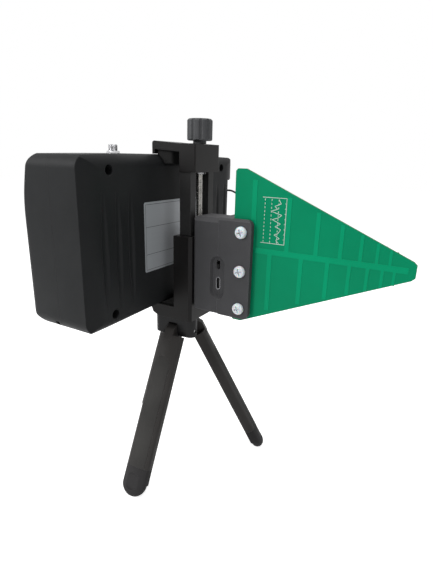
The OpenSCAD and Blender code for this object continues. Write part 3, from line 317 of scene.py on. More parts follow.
dust, given, out = new_group("settled_dust", [("Amount", 0.3)], [("Mask", "NodeSocketFloat")])
geometry = dust.nodes.new("ShaderNodeNewGeometry")
split = dust.nodes.new("ShaderNodeSeparateXYZ")
dust.links.new(geometry.outputs["Normal"], split.inputs[0])
coords = dust.nodes.new("ShaderNodeTexCoord")
specks = dust.nodes.new("ShaderNodeTexVoronoi")
specks.inputs["Scale"].default_value = SPECK_SCALE
cloud = dust.nodes.new("ShaderNodeTexNoise")
cloud.inputs["Scale"].default_value = CLOUD_SCALE
cloud.inputs["Detail"].default_value = 5.0
for texture in (specks, cloud):
    dust.links.new(coords.outputs["Object"], texture.inputs["Vector"])
facing = math_node(dust, "MAXIMUM", split.outputs["Z"], DUST_ON_STEEP)
speck = math_node(dust, "LESS_THAN", specks.outputs["Distance"], SPECK_SIZE)
weighed = math_node(dust, "MULTIPLY", speck, SPECK_WEIGHT)
both = math_node(dust, "ADD", weighed, cloud.outputs["Fac"])
mask = math_node(dust, "MULTIPLY", facing, both)
mask = math_node(dust, "MULTIPLY", mask, given.outputs["Amount"])
dust.links.new(math_node(dust, "MINIMUM", mask, 1.0), out.inputs["Mask"])
print("group:", dust.name)

# %% [markdown]
# Drawn, turned or brushed metal shows fine lines along one direction. A noise that is
# squeezed across the lines and stretched along them gives such lines, and the three scales
# say which direction that is.

# %% Brushed lines group
lines_group, given, out = new_group(
    "brushed_lines", [("Scale X", 100.0), ("Scale Y", 100.0), ("Scale Z", 6000.0)],
    [("Lines", "NodeSocketFloat")])
coords = lines_group.nodes.new("ShaderNodeTexCoord")
join = lines_group.nodes.new("ShaderNodeCombineXYZ")
for axis in "XYZ":
    lines_group.links.new(given.outputs["Scale " + axis], join.inputs[axis])
stretch = lines_group.nodes.new("ShaderNodeVectorMath")
stretch.operation = "MULTIPLY"
lines_group.links.new(coords.outputs["Object"], stretch.inputs[0])
lines_group.links.new(join.outputs[0], stretch.inputs[1])
streaks = lines_group.nodes.new("ShaderNodeTexNoise")
streaks.inputs["Scale"].default_value = 1.0
streaks.inputs["Detail"].default_value = 4.0
lines_group.links.new(stretch.outputs[0], streaks.inputs["Vector"])
lines_group.links.new(streaks.outputs["Fac"], out.inputs["Lines"])
print("group:", lines_group.name)

# %% [markdown]
# ## Material helpers
# Colours are easiest to judge as display values from 0 to 255, but shaders work with linear
# light, so one helper converts them. A second starts a material and keeps it by its name,
# which is also the name of the slot it will fill. The others place a group in a material,
# mix two colours by a mask, spread a mask over a range and turn a height into a bump.

# %% Material helpers
FINISHES = {}


def linear(r, g, b):
    """Display colour 0-255 as the linear colour a shader expects."""
    return tuple(c / 12.92 if c <= 0.04045 else ((c + 0.055) / 1.055) ** 2.4
                 for c in (r / 255, g / 255, b / 255)) + (1.0,)


def start_material(name, **constants):
    """Starts a material with constant sockets set by name. Returns its tree and shader."""
    material = bpy.data.materials.new(name)
    material.use_nodes = True
    FINISHES[name] = material
    tree = material.node_tree
    shader = tree.nodes["Principled BSDF"]
    for label, value in constants.items():
        shader.inputs[label.replace("_", " ")].default_value = value
    return tree, shader


def use_group(tree, group, **values):
    """Places a group in a material and sets its inputs by name."""
    node = tree.nodes.new("ShaderNodeGroup")
    node.node_tree = group
    for label, value in values.items():
        node.inputs[label.replace("_", " ")].default_value = value
    return node


def mix_colour(tree, mask, a, b):
    """Colour a where the mask is nought, b where it is one; each a colour or a socket."""
    mix = tree.nodes.new("ShaderNodeMix")
    mix.data_type = "RGBA"
    tree.links.new(mask, mix.inputs["Factor"])
    for socket, value in ((mix.inputs[6], a), (mix.inputs[7], b)):
        if isinstance(value, tuple):
            socket.default_value = value
        else:
            tree.links.new(value, socket)
    return mix.outputs[2]


def spread_value(tree, value, low, high):
    """Maps a mask from nought to one onto the range from low to high."""
    spread = tree.nodes.new("ShaderNodeMapRange")
    spread.inputs["To Min"].default_value = low
    spread.inputs["To Max"].default_value = high
    tree.links.new(value, spread.inputs["Value"])
    return spread.outputs["Result"]


def bump_from(tree, shader, height, depth, normal=None):
    """Bump of the given depth in metres from a height socket, over an optional soft normal."""
    bump = tree.nodes.new("ShaderNodeBump")
    bump.inputs["Strength"].default_value = 1.0
    bump.inputs["Distance"].default_value = depth
    tree.links.new(height, bump.inputs["Height"])
    if normal is not None:
        tree.links.new(normal, bump.inputs["Normal"])
    tree.links.new(bump.outputs["Normal"], shader.inputs["Normal"])


# %% [markdown]
# ## Plastic, rubber and paint
# All the dark pieces are variations of one idea: a dark colour that is slightly uneven,
# paler worn edges, a little dust and a fine grain in the bump. What sets them apart is how
# rough they are, how coarse the grain is and how much the edges show, so one function with
# those values makes them all, and each keeps its own material.

# %% Dark finishes
MICRON = 1e-6
DUST_COLOUR = (170, 168, 164)
PATCH_DARKENING = 0.8


def dark_finish(name, colour, rough, grain_scale=2200.0, grain_depth=10 * MICRON, edge=2.8,
                dusty=0.05, soft=0.4 * MM, specular=0.12):
    """Dark material with drifting colour and shine, worn edges, dust and a grain."""
    tree, shader = start_material(name, Specular_IOR_Level=specular)
    base = linear(*colour)
    pale = linear(*[min(255, c * 1.5 + 12) for c in colour])
    uneven = tuple(c * PATCH_DARKENING for c in base[:3]) + (1.0,)
    worn = use_group(tree, edges, Radius=soft, Spread=edge)
    texture = use_group(tree, grain, Scale=grain_scale)
    settled = use_group(tree, dust, Amount=dusty)
    tone = mix_colour(tree, texture.outputs["Unevenness"], uneven, base)
    tone = mix_colour(tree, worn.outputs["Mask"], tone, pale)
    tone = mix_colour(tree, settled.outputs["Mask"], tone, linear(*DUST_COLOUR))
    tree.links.new(tone, shader.inputs["Base Color"])
    shine = spread_value(tree, texture.outputs["Unevenness"], rough + 0.06, rough - 0.05)
    tree.links.new(shine, shader.inputs["Roughness"])
    bump_from(tree, shader, texture.outputs["Height"], grain_depth, worn.outputs["Normal"])


dark_finish("hub_plastic", (40, 40, 41), 0.45, dusty=0.03)
dark_finish("leg_plastic", (52, 50, 49), 0.5, edge=3.2, dusty=0.04)
dark_finish("grip_rubber", (56, 55, 54), 0.75, 1500.0, 20 * MICRON, edge=1.2)
dark_finish("foot_rubber", (46, 45, 46), 0.7, 1500.0, 20 * MICRON, edge=2.4)
dark_finish("knob_plastic", (84, 85, 87), 0.42, edge=3.6)
dark_finish("case_plastic", (34, 35, 36), 0.45, 2600.0, 8 * MICRON, edge=2.4, dusty=0.01,
            soft=0.7 * MM, specular=0.08)
dark_finish("switch_plastic", (30, 30, 31), 0.5)
dark_finish("module_plastic", (74, 74, 76), 0.55, 1800.0, 15 * MICRON, soft=0.5 * MM)
dark_finish("clamp_paint", (24, 23, 23), 0.38, 1400.0, 6 * MICRON, edge=4.0, dusty=0.02)
dark_finish("rail_paint", (44, 44, 44), 0.35, 1400.0, 6 * MICRON, edge=4.0)
dark_finish("pad_rubber", (24, 24, 24), 0.8, 1300.0, 30 * MICRON, edge=0.8, specular=0.15)
dark_finish("panel", (70, 72, 76), 0.4)
print("dark finishes:", len(FINISHES))

# %% [markdown]
# ## Metals
# The clamp screw is bright steel, the pins and sockets are duller, and the radio jacks are
# gold or nickel plated. A metal takes its look from its roughness, so fine lines from the
# shared group vary the roughness and give a very shallow bump. Turned pieces have their
# lines round the axis, which means that they change quickly along it.

# %% Metals
LINE_DEPTH = 3 * MICRON
METAL_EDGE = 0.2 * MM
TARNISH = 0.78


def metal_finish(name, colour, rough, lines):
    """Metal whose fine lines change quickly along the axis that has the largest scale."""
    tree, shader = start_material(name, Metallic=1.0)
    worn = use_group(tree, edges, Radius=METAL_EDGE)
    texture = use_group(tree, grain, Scale=1500.0, Patch_Scale=120.0)
    brushed = use_group(tree, lines_group, Scale_X=lines[0], Scale_Y=lines[1], Scale_Z=lines[2])
    dull = linear(*[c * TARNISH for c in colour])
    tone = mix_colour(tree, texture.outputs["Unevenness"], dull, linear(*colour))
    tree.links.new(tone, shader.inputs["Base Color"])
    shine = spread_value(tree, brushed.outputs["Lines"], rough - 0.07, rough + 0.1)
    tree.links.new(shine, shader.inputs["Roughness"])
    bump_from(tree, shader, brushed.outputs["Lines"], LINE_DEPTH, worn.outputs["Normal"])


AROUND_Z = (300.0, 300.0, 5000.0)
AROUND_X = (5000.0, 300.0, 300.0)
AROUND_Y = (300.0, 5000.0, 300.0)
metal_finish("screw_steel", (196, 194, 190), 0.24, AROUND_Z)
metal_finish("pin_steel", (150, 150, 152), 0.32, AROUND_Y)
metal_finish("socket_steel", (172, 172, 176), 0.3, AROUND_X)
metal_finish("nut_brass", (196, 160, 92), 0.3, AROUND_Z)
metal_finish("jack_gold", (226, 184, 104), 0.22, AROUND_X)
metal_finish("plug_gold", (226, 184, 104), 0.24, AROUND_X)
metal_finish("jack_nickel", (206, 206, 208), 0.22, AROUND_Z)
metal_finish("battery_can", (180, 180, 184), 0.4, AROUND_X)
print("finishes so far:", len(FINISHES))

# %% [markdown]
# ## Label film
# The rating plate is a satin grey film with fine level brushing. It is printed film and not
# real metal, so its metallic value is only about a third, and long thin lines do the rest.

# %% Label film
tree, shader = start_material("label_film", Metallic=0.35, Specular_IOR_Level=0.5)
brushed = use_group(tree, lines_group, Scale_X=60.0, Scale_Y=60.0, Scale_Z=7000.0)
texture = use_group(tree, grain, Scale=1800.0, Patch_Scale=22.0)
tone = mix_colour(tree, brushed.outputs["Lines"], linear(160, 164, 168), linear(190, 194, 198))
tone = mix_colour(tree, texture.outputs["Unevenness"], tone, linear(176, 180, 184))
tree.links.new(tone, shader.inputs["Base Color"])
tree.links.new(spread_value(tree, brushed.outputs["Lines"], 0.3, 0.5), shader.inputs["Roughness"])
bump_from(tree, shader, brushed.outputs["Lines"], LINE_DEPTH)
print("finishes so far:", len(FINISHES))

# %% [markdown]
# ## Glass, nylon and lead jacket
# These are all one smooth substance that is never quite even: its colour and its roughness
# drift together between two values, and a very shallow relief breaks the reflections. The
# display is clear glass over black, where the drift reads as finger marks. Nylon lets some
# light in, which the subsurface weight gives. The lead has a smooth jacket. The same maker
# serves for the printing inks later on.

# %% Smooth finishes
def smooth_finish(name, deep, pale, rough, scale, patch, depth, relief="Height", soft=None,
                  **constants):
    """Material that drifts from a deep to a pale colour, and over a range of roughness."""
    tree, shader = start_material(name, **constants)
    normal = use_group(tree, edges, Radius=soft).outputs["Normal"] if soft else None
    texture = use_group(tree, grain, Scale=scale, Patch_Scale=patch)
    drift = texture.outputs["Unevenness"]
    tone = mix_colour(tree, drift, linear(*deep), linear(*pale))
    tree.links.new(tone, shader.inputs["Base Color"])
    tree.links.new(spread_value(tree, drift, *rough), shader.inputs["Roughness"])
    bump_from(tree, shader, texture.outputs[relief], depth, normal)


GLASS_SHINE = 0.22
smooth_finish("black_glass", (9, 9, 11), (14, 15, 18), rough=(0.04, 0.14), scale=500.0,
              patch=45.0, depth=4 * MICRON, relief="Unevenness", Specular_IOR_Level=GLASS_SHINE)
smooth_finish("nylon_white", (216, 222, 227), (232, 237, 240), rough=(0.35, 0.5), scale=1400.0,
              patch=160.0, depth=10 * MICRON, soft=0.3 * MM, Subsurface_Weight=0.25,
              Subsurface_Scale=1 * MM)
smooth_finish("lead_jacket", (20, 20, 21), (30, 30, 31), rough=(0.25, 0.38), scale=1200.0,
              patch=90.0, depth=8 * MICRON, Specular_IOR_Level=0.45)
print("finishes so far:", len(FINISHES))

# %% [markdown]
# ## The circuit boards
# A circuit board is glass cloth in resin under a green solder mask. The mask is glossy, the
# cloth shows as a faint weave, and the cut edge is bare and paler. The edge of the antenna
# board is found from its normal: only the two large faces look along X. Copper under the
# mask is the same green but lighter, and stands a little proud. The two wave textures cross
# to make the weave.

# %% Solder mask
CLOTH_SCALE = 420.0
CLOTH_SHOWS = 0.06


def solder_mask(name, colour, deep, edge_colour):
    """Green mask over glass cloth, with another colour where the board is cut."""
    tree, shader = start_material(name, Specular_IOR_Level=0.07)
    coords = tree.nodes.new("ShaderNodeTexCoord")
    weave = None
    for direction in ("Y", "Z"):
        wave = tree.nodes.new("ShaderNodeTexWave")
        wave.bands_direction = direction
        wave.inputs["Scale"].default_value = CLOTH_SCALE
        tree.links.new(coords.outputs["Object"], wave.inputs["Vector"])
        threads = wave.outputs["Fac"]
        weave = threads if weave is None else math_node(tree, "ADD", weave, threads)
    texture = use_group(tree, grain, Scale=1600.0, Patch_Scale=26.0)
    tone = mix_colour(tree, texture.outputs["Unevenness"], linear(*deep), linear(*colour))
    lighter = linear(*[c + 12 for c in colour])
    tone = mix_colour(tree, math_node(tree, "MULTIPLY", weave, CLOTH_SHOWS), tone, lighter)
    geometry = tree.nodes.new("ShaderNodeNewGeometry")
    split = tree.nodes.new("ShaderNodeSeparateXYZ")
    tree.links.new(geometry.outputs["True Normal"], split.inputs[0])
    along_x = math_node(tree, "ABSOLUTE", split.outputs["X"])
    on_the_edge = math_node(tree, "LESS_THAN", along_x, 0.5)
    tone = mix_colour(tree, on_the_edge, tone, linear(*edge_colour))
    tree.links.new(tone, shader.inputs["Base Color"])
    shine = spread_value(tree, texture.outputs["Unevenness"], 0.3, 0.42)
    tree.links.new(shine, shader.inputs["Roughness"])
    bump_from(tree, shader, weave, 4 * MICRON)


solder_mask("board_green", (0, 134, 93), deep=(0, 126, 87), edge_colour=(74, 120, 76))
solder_mask("copper_mask", (0, 148, 104), deep=(0, 141, 98), edge_colour=(0, 138, 96))
print("finishes in all:", len(FINISHES))

# %% [markdown]
# ## Dressing the solid parts
# Each part carries a material slot named for its finish. We put the new material in that
# slot and change nothing else, so the shape of the part stays as it is.

# %% Assign finishes
slot_of = {part["node"]: part["material_slot"] for part in frame["record"]["subparts"]}
for node_name, obj in frame["nodes"].items():
    finish = FINISHES[slot_of[node_name]]
    if not obj.data.materials:
        obj.data.materials.append(finish)
    for material_slot in obj.material_slots:
        material_slot.material = finish
lead_curve.materials.append(FINISHES["lead_jacket"])
print("dressed parts:", len(slot_of))

# %% [markdown]
# ## Helpers for new pieces
# New pieces are plain meshes in metres, already in place, so each one only has to be told
# which body it rides on and which material slot it belongs to. Smooth shading with sharp
# edges above a given angle suits machined pieces.

# %% Piece helper
def new_mesh(name, verts, faces):
    mesh = bpy.data.meshes.new(name)
    mesh.from_pydata([tuple(v) for v in verts], [], faces)
    return mesh


def add_mesh_piece(mesh, slot, body, finish=None):
    """Puts a mesh in the scene as a piece of the same name. The finish is the slot's own
    unless another one is named."""
    mesh.materials.append(FINISHES[finish or slot])
    obj = bpy.data.objects.new(mesh.name, mesh)
    scene.collection.objects.link(obj)
    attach(obj, body)
    return obj


def add_piece(name, verts, faces, slot, body, sharp=35.0, finish=None):
    """Piece with joined points, outward normals and edges sharp above an angle in degrees."""
    mesh = new_mesh(name, verts, faces)
    work = bmesh.new()
    work.from_mesh(mesh)
    bmesh.ops.remove_doubles(work, verts=work.verts, dist=MICRON)
    bmesh.ops.recalc_face_normals(work, faces=work.faces)
    work.to_mesh(mesh)
    work.free()
    mesh.shade_smooth()
    mesh.set_sharp_from_angle(angle=math.radians(sharp))
    return add_mesh_piece(mesh, slot, body, finish)


# %% [markdown]
# ## Screw threads
# The long clamp screw is threaded from end to end, and so is the barrel of a radio jack. A
# thread is a grid of points: one direction runs round the axis, the other runs along it,
# and every column starts a little higher than the one before, so that a full turn rises by
# one pitch. Two points of each pitch lie on the crest and two in the groove. Near both ends
# the crests sink to the groove, as a thread does where it runs out.

# %% Thread maker
THREAD_PROFILE = ((0.0, False), (0.22, False), (0.44, True), (0.72, True))
RUN_OUT = 0.35


def ring(radius, height, sides):
    """Points of a circle round Z."""
    angles = (2 * math.pi * k / sides for k in range(sides))
    return [(radius * math.cos(a), radius * math.sin(a), height) for a in angles]


def thread_skin(outer, inner, pitch, low, high, sides=28):
    """Points and faces of a threaded rod along Z, closed at both ends."""
    turns = math.ceil((high - low) / pitch) + 2
    verts, faces = [], []
    rows = turns * len(THREAD_PROFILE)
    for side in range(sides + 1):
        angle = 2 * math.pi * side / sides
        for row in range(rows):
            turn_index, step = divmod(row, len(THREAD_PROFILE))
            share, on_crest = THREAD_PROFILE[step]
            z = low + pitch * (turn_index - 1 + share + side / sides)
            if z <= low + pitch * RUN_OUT or z >= high - pitch * RUN_OUT:
                on_crest = False
                z = min(max(z, low), high)
            radius = outer if on_crest else inner
            verts.append((radius * math.cos(angle), radius * math.sin(angle), z))
    for side in range(sides):
        for row in range(rows - 1):
            a = side * rows + row
            faces.append((a, a + rows, a + rows + 1, a + 1))
    for z in (low, high):
        start = len(verts)
        verts.extend(ring(inner, z, sides))
        faces.append(tuple(range(start, start + sides)))
    return verts, faces


# %% [markdown]
# The clamp screw turns with its knob. Its thread has a pitch of 0.8 mm. The solid part is a
# plain rod with the diameter of the crests, so the piece that replaces it has exactly its
# length and never reaches outside it.

# %% Clamp screw
CLAMP_PITCH = 0.8 * MM
CLAMP_THREAD_DEPTH = 0.42 * MM

low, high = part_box("clamp_screw")
centre = (low + high) / 2
screw_radius = (high.x - low.x) / 2
verts, faces = thread_skin(screw_radius, screw_radius - CLAMP_THREAD_DEPTH, CLAMP_PITCH,
                           low.z, high.z)
verts = [Vector(v) + Vector((centre.x, centre.y, 0)) for v in verts]
clamp_thread = add_piece("clamp_thread", verts, faces, "screw_steel", "knob", 50.0)
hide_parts("clamp_screw")
print("clamp thread:", round((high.z - low.z) * 1000, 1), "mm,", len(faces), "faces")

# %% [markdown]
# ## Radio jacks
# The jack in the top of the case is open, so all of it shows: a hexagonal nut, a threaded
# barrel, white insulation and a gold centre contact. The two jacks that carry plugs show
# only their nuts and a few turns. The round pieces are lathed: a profile is turned round the
# axis, ring by ring. A hexagonal nut is a skin over rings as well, with rings that follow
# the hexagon.

# %% Lathe and hexagon makers
def join_rings(rings, closed=False):
    """Points and faces of a skin over rings of equal length, from each one to the next."""
    sides = len(rings[0])
    faces = []
    for row in range(len(rings) if closed else len(rings) - 1):
        here, there = row * sides, (row + 1) % len(rings) * sides
        for k in range(sides):
            n = (k + 1) % sides
            faces.append((here + k, here + n, there + n, there + k))
    return [v for points in rings for v in points], faces


def lathe(profile, sides=32):
    """Turns a list of (radius, height) points round Z."""
    return join_rings([ring(radius, height, sides) for radius, height in profile])


CHAMFER, CHAMFER_ON_FLATS = 0.35 * MM, 0.3
NUT_FACE_SHARE = 0.97


def hex_nut(flat, low, high, bore, sides=48):
    """Hexagonal nut along Z whose corners are turned down to a cone on both faces."""
    half = flat / 2
    corner = half / math.cos(math.pi / 6)
    outline = []
    for k in range(sides):
        angle = 2 * math.pi * k / sides
        off_flat = (angle - math.pi / 6) % (math.pi / 3) - math.pi / 6
        outline.append((angle, half / math.cos(off_flat)))
    rings = []
    for height, is_face in ((low, True), (low, False), (high, False), (high, True)):
        inwards = 1 if height == low else -1
        points = []
        for angle, reach in outline:
            past_flat = max(0.0, reach - half) / (corner - half)
            radius = min(reach, half * NUT_FACE_SHARE) if is_face else reach
            shift = 0.0 if is_face else CHAMFER * (CHAMFER_ON_FLATS + past_flat) * inwards
            points.append((radius * math.cos(angle), radius * math.sin(angle), height + shift))
        rings.append(points)
    rings += [ring(bore, high, sides), ring(bore, low, sides)]
    return join_rings(rings, closed=True)


# %% [markdown]
# One maker builds every jack from five pieces along Z, with its seat at nought, and a matrix
# turns and moves them into place. The white insulation and the gold contact keep their own
# finish whatever the jack is plated with. The thread's last face is left out, because the
# bore is open at the mouth.

# %% Jack maker
JACK_RADIUS, JACK_LENGTH = 3.175 * MM, 6 * MM
JACK_ROOT = JACK_RADIUS - 0.32 * MM
JACK_BORE = JACK_RADIUS - 0.9 * MM
JACK_PITCH = 0.7 * MM
NUT_FLAT, NUT_HEIGHT, NUT_BORE = 8 * MM, 2 * MM, 2.9 * MM


def in_metres(profile):
    return [(radius * MM, height * MM) for radius, height in profile]


def add_jack(name, seat, axis, slot):
    """Threaded radio jack that stands on its seat along an axis. Returns its pieces."""
    turn = Vector((0, 0, 1)).rotation_difference(axis).to_matrix().to_4x4()
    into_place = Matrix.Translation(seat) @ turn
    thread_verts, thread_faces = thread_skin(JACK_RADIUS, JACK_ROOT, JACK_PITCH,
                                             NUT_HEIGHT - 0.1 * MM, JACK_LENGTH)
    bore = [(JACK_ROOT, JACK_LENGTH), (JACK_BORE, JACK_LENGTH), (JACK_BORE, 1 * MM),
            (0.3 * MM, 1 * MM)]
    insulation = [(2.2, 1), (2.2, 4.2), (2, 4.4), (0.7, 4.4), (0.7, 3.6)]
    contact = [(0.62, 1), (0.62, 4.7), (0.5, 4.9), (0.34, 4.9), (0.34, 2.5), (0.01, 2.5)]
    parts = (
        ("nut", hex_nut(NUT_FLAT, 0, NUT_HEIGHT, NUT_BORE), slot),
        ("thread", (thread_verts, thread_faces[:-1]), slot),
        ("bore", lathe(bore), slot),
        ("insulation", lathe(in_metres(insulation)), "nylon_white"),
        ("contact", lathe(in_metres(contact)), "jack_gold"),
    )
    return [add_piece(f"{name}_{part}", [into_place @ Vector(v) for v in verts], faces,
                      slot, "stand", 40.0, finish)
            for part, (verts, faces), finish in parts]


# %% [markdown]
# Every jack ends where its solid ends, so its seat lies one barrel length back from there.

# %% Three jacks
UPWARDS, TO_THE_SIDE = Vector((0, 0, 1)), Vector((-1, 0, 0))
for name, node, axis, slot in (("top_jack", "top_rf_jack", UPWARDS, "jack_nickel"),
                               ("side_jack", "side_rf_jack", TO_THE_SIDE, "jack_gold"),
                               ("module_jack", "module_rf_jack", TO_THE_SIDE, "jack_gold")):
    low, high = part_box(node)
    to_end = abs((high - low).dot(axis)) / 2
    seat = (low + high) / 2 + axis * (to_end - JACK_LENGTH)
    for obj in add_jack(name, seat, axis, slot):
        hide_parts(node)
    print(name, "seat:", [round(v, 4) for v in seat])

# %% [markdown]
# ## The seam round the case
# The two shells of the case meet in a fine dark line. The solids meet flush, so we look for
# the edges of the rear shell that lie on the joint plane and whose face looks outwards, and
# lay a hair-thin dark strip over them. Reading the edges from the part itself means that
# the line follows the arched outline and the recess without any guessing.

# %% Seam strip
PROUD = 0.03 * MM
SEAM_WIDTH = 0.3 * MM
SAME_PLACE = 0.01 * MM


def seam_strip(name, node):
    """Dark strip over the outer edges of a part that lie in its lowest plane along Y."""
    mesh = frame["nodes"][node].data
    low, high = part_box(node)
    middle = (low + high) / 2
    half_width = Vector((0, SEAM_WIDTH / 2, 0))
    verts, faces = [], []
    for polygon in mesh.polygons:
        outward = polygon.normal.dot(polygon.center - middle) > 0
        if abs(polygon.normal.y) > 0.5 or not outward:
            continue
        for pair in polygon.edge_keys:
            a, b = (mesh.vertices[k].co for k in pair)
            on_joint = all(abs(end.y - low.y) < SAME_PLACE for end in (a, b))
            if on_joint and (a - b).length > SAME_PLACE:
                push = polygon.normal * PROUD
                start = len(verts)
                verts.extend((a + push - half_width, b + push - half_width,
                              b + push + half_width, a + push + half_width))
                faces.append(tuple(range(start, start + 4)))
    return add_piece(name, verts, faces, "switch_plastic", "stand", 60.0)


case_seam = seam_strip("case_seam", "rear_case")
print("seam strip faces:", len(case_seam.data.polygons))

# %% [markdown]
# ## The picture area of the display
# Behind the black glass of the real display, the area that shows the picture is a little
# lighter and bluer than the printed frame round it. The glass leans with the front of the
# case, so we look for its faces that look forwards, take their mean plane and lay a thin
# sheet with round corners over it, a few hundredths of a millimetre proud.

# %% Picture area
FRAME_ACROSS, FRAME_UP = 7 * MM, 5.5 * MM
CORNER = 1.2 * MM
CORNER_STEPS = 6

glass = frame["nodes"]["display_glass"].data
front_faces = [p for p in glass.polygons if p.normal.y < -0.9]
area = sum(p.area for p in front_faces)
front_normal = sum((p.normal * p.area for p in front_faces), Vector()).normalized()
front_centre = sum((p.center * p.area for p in front_faces), Vector()) / area
low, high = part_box("display_glass")
across = Vector((1, 0, 0))
upwards = front_normal.cross(across).normalized()
half_across = (high.x - low.x) / 2 - FRAME_ACROSS
half_up = (high.z - low.z) / 2 - FRAME_UP
outline = []
for side_x, side_z, start in ((1, 1, 0), (-1, 1, 90), (-1, -1, 180), (1, -1, 270)):
    for k in range(CORNER_STEPS + 1):
        angle = math.radians(start + 90 / CORNER_STEPS * k)
        a = side_x * (half_across - CORNER) + CORNER * math.cos(angle)
        u = side_z * (half_up - CORNER) + CORNER * math.sin(angle)
        outline.append(front_centre + across * a + upwards * u + front_normal * PROUD)
smooth_finish("picture_area", (20, 22, 26), (26, 28, 33), rough=(0.06, 0.16), scale=500.0,
              patch=40.0, depth=4 * MICRON, relief="Unevenness", Specular_IOR_Level=GLASS_SHINE)
add_piece("picture_area", outline, [tuple(range(len(outline)))], "black_glass", "stand",
          finish="picture_area")
print("picture area:", round(half_across * 2000), "by", round(half_up * 2000), "mm")

# %% [markdown]
# ## Rules on the rating plate
# The plate is left without words. Thin rules divide it as on any rating plate. A rule is a
# narrow strip that lies a few hundredths of a millimetre above the film, in dark print.

# %% Printed lines
def add_lines(name, lines, width, normal, slot, ink):
    """Flat strips of one width along (start, end) lines, square to one normal, as a piece."""
    verts, faces = [], []
    for start, end in lines:
        side = (end - start).normalized().cross(normal) * width / 2
        first = len(verts)
        verts.extend((start - side, end - side, end + side, start + side))
        faces.append(tuple(range(first, first + 4)))
    return add_mesh_piece(new_mesh(name, verts, faces), slot, "stand", ink)


def print_ink(name, colour, rough):
    """Ink that is slightly uneven, as screen printing is."""
    smooth_finish(name, [c * 0.88 for c in colour], colour, rough=(rough, rough + 0.12),
                  scale=2600.0, patch=200.0, depth=4 * MICRON, Specular_IOR_Level=0.3)


# %% [markdown]
# The plate gets a border along its four sides and two level rules inside it.

# %% Rules
RULE_WIDTH = 0.28 * MM
RULE_INSET = 1.6 * MM
RULE_SHARES = (0.24, 0.66)

low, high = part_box("rating_label")
left, far_x = low.x + RULE_INSET, high.x - RULE_INSET
bottom, top = low.z + RULE_INSET, high.z - RULE_INSET
corners = [(left, bottom), (far_x, bottom), (far_x, top), (left, top)]
rules = list(zip(corners, corners[1:] + corners[:1]))
for share in RULE_SHARES:
    height = bottom + (top - bottom) * share
    rules.append(((left, height), (far_x, height)))
rules = [[Vector((x, high.y + PROUD, z)) for x, z in rule] for rule in rules]
print_ink("dark_ink", (52, 54, 58), 0.45)
add_lines("plate_rules", rules, RULE_WIDTH, Vector((0, 1, 0)), "label_film", "dark_ink")
print("rules on the plate:", len(rules))

# %% [markdown]
# ## Print on the antenna board
# Between two of the upper elements the board carries a small chart in thin white print. It
# is drawn here as a plain generic one: a long base line with short marks, a side line at
# each end of it, three broken lines beside it and a zigzag trace. There is nothing in it to
# read. It stands on its side, with the base line upright, so the trace runs up the board.

# %% Chart
CHART_LINE = 0.32 * MM
CHART_MARKS, CHART_DASHES = 9, 12
TRACE = ((0.78, 0.02), (0.66, 0.08), (0.8, 0.13), (0.58, 0.2), (0.74, 0.24), (0.83, 0.33),
         (0.6, 0.38), (0.81, 0.45), (0.47, 0.53), (0.72, 0.58), (0.84, 0.64), (0.4, 0.71),
         (0.66, 0.76), (0.55, 0.82), (0.79, 0.88), (0.7, 0.97))

low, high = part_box("antenna_board")
chart_at = Vector((high.x + PROUD, low.y + 19 * MM, low.z + 57.5 * MM))
chart_size = Vector((0, 17 * MM, 29 * MM))


def on_board(across, along):
    """Point of the chart: shares of its width and of its length, on the face of the board."""
    return chart_at + Vector((0, chart_size.y * across, chart_size.z * along))


chart = [((1.0, 0.0), (1.0, 1.0)), ((0.05, 0.0), (1.0, 0.0)), ((0.05, 1.0), (1.0, 1.0))]
for k in range(1, CHART_MARKS):
    chart.append(((0.95, k / CHART_MARKS), (1.0, k / CHART_MARKS)))
for across in (0.15, 0.42, 0.7):
    for k in range(CHART_DASHES):
        chart.append(((across, (k + 0.15) / CHART_DASHES), (across, (k + 0.65) / CHART_DASHES)))
chart += list(zip(TRACE, TRACE[1:]))
chart = [(on_board(*start), on_board(*end)) for start, end in chart]
print_ink("white_ink", (214, 226, 220), 0.5)
add_lines("board_chart", chart, CHART_LINE, Vector((1, 0, 0)), "board_green", "white_ink")
print("chart lines:", len(chart))

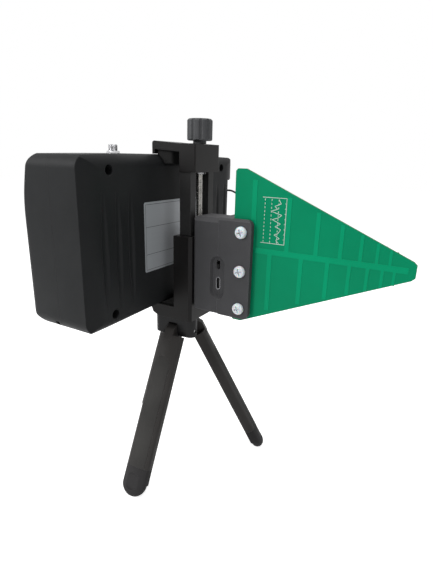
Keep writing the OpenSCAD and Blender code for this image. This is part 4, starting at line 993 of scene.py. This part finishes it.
# %% [markdown]
# ## Painted shade and tongues in the flat sockets
# Inside the steel shell of a charging socket there is a dark moulded tongue, and the space
# round it lies in shade. A thin dark plug, set a little inside the shell and with the
# tongue standing out of it, is painted shade that stands in for that depth. It is a stadium
# outline pushed along the socket's axis.

# %% Socket tongues and painted shade
# The stadium is a dark sheet of painted shade; the tongue is the socket's real moulded part.
SHADE_PLUG_HALF = (1.25 * MM, 4.15 * MM)
TONGUE_HALF = (0.4 * MM, 3.35 * MM)
SHADE_PLUG_DEPTHS = (1.9 * MM, 1.3 * MM)
TONGUE_DEPTHS = (1.6 * MM, 0.9 * MM)


def stadium(half_width, half_height, count=10):
    """Outline of an upright rectangle with round ends, as (across, up) points."""
    points = []
    for end in (1, -1):
        for k in range(count + 1):
            angle = math.pi * k / count
            up = half_height - half_width + half_width * math.sin(angle)
            points.append((half_width * math.cos(angle) * end, up * end))
    return points


def prism_along_x(outline, centre, x0, x1):
    """Points and faces of an (across, up) outline pushed from x0 to x1."""
    verts = [(x, centre.y + a, centre.z + u) for x in (x0, x1) for a, u in outline]
    n = len(outline)
    faces = [(k, (k + 1) % n, n + (k + 1) % n, n + k) for k in range(n)]
    return verts, faces + [tuple(range(n)), tuple(range(n, 2 * n))]


def add_socket_shade_and_tongue(name, node, outward):
    """Painted shade and a dark tongue inside a socket opening towards +X (1) or -X (-1)."""
    low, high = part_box(node)
    centre = (low + high) / 2
    front = high.x if outward > 0 else low.x
    a, u = TONGUE_HALF
    tongue = [(-a, -u), (a, -u), (a, u), (-a, u)]
    verts, faces = [], []
    # First the stadium of painted shade, then the real tongue that stands out of it.
    for outline, depths in ((stadium(*SHADE_PLUG_HALF), SHADE_PLUG_DEPTHS), (tongue, TONGUE_DEPTHS)):
        ends = [front - outward * depth for depth in depths]
        prism_verts, prism_faces = prism_along_x(outline, centre, *ends)
        faces += [tuple(k + len(verts) for k in face) for face in prism_faces]
        verts += prism_verts
    return add_piece(name, verts, faces, "switch_plastic", "stand", 40.0)


for name, node, outward in (("module_socket_shade_and_tongue", "module_usb_socket", 1),
                            ("case_socket_shade_and_tongue", "usb_socket", -1)):
    shade_and_tongue = add_socket_shade_and_tongue(name, node, outward)
    print(name, len(shade_and_tongue.data.polygons), "faces")
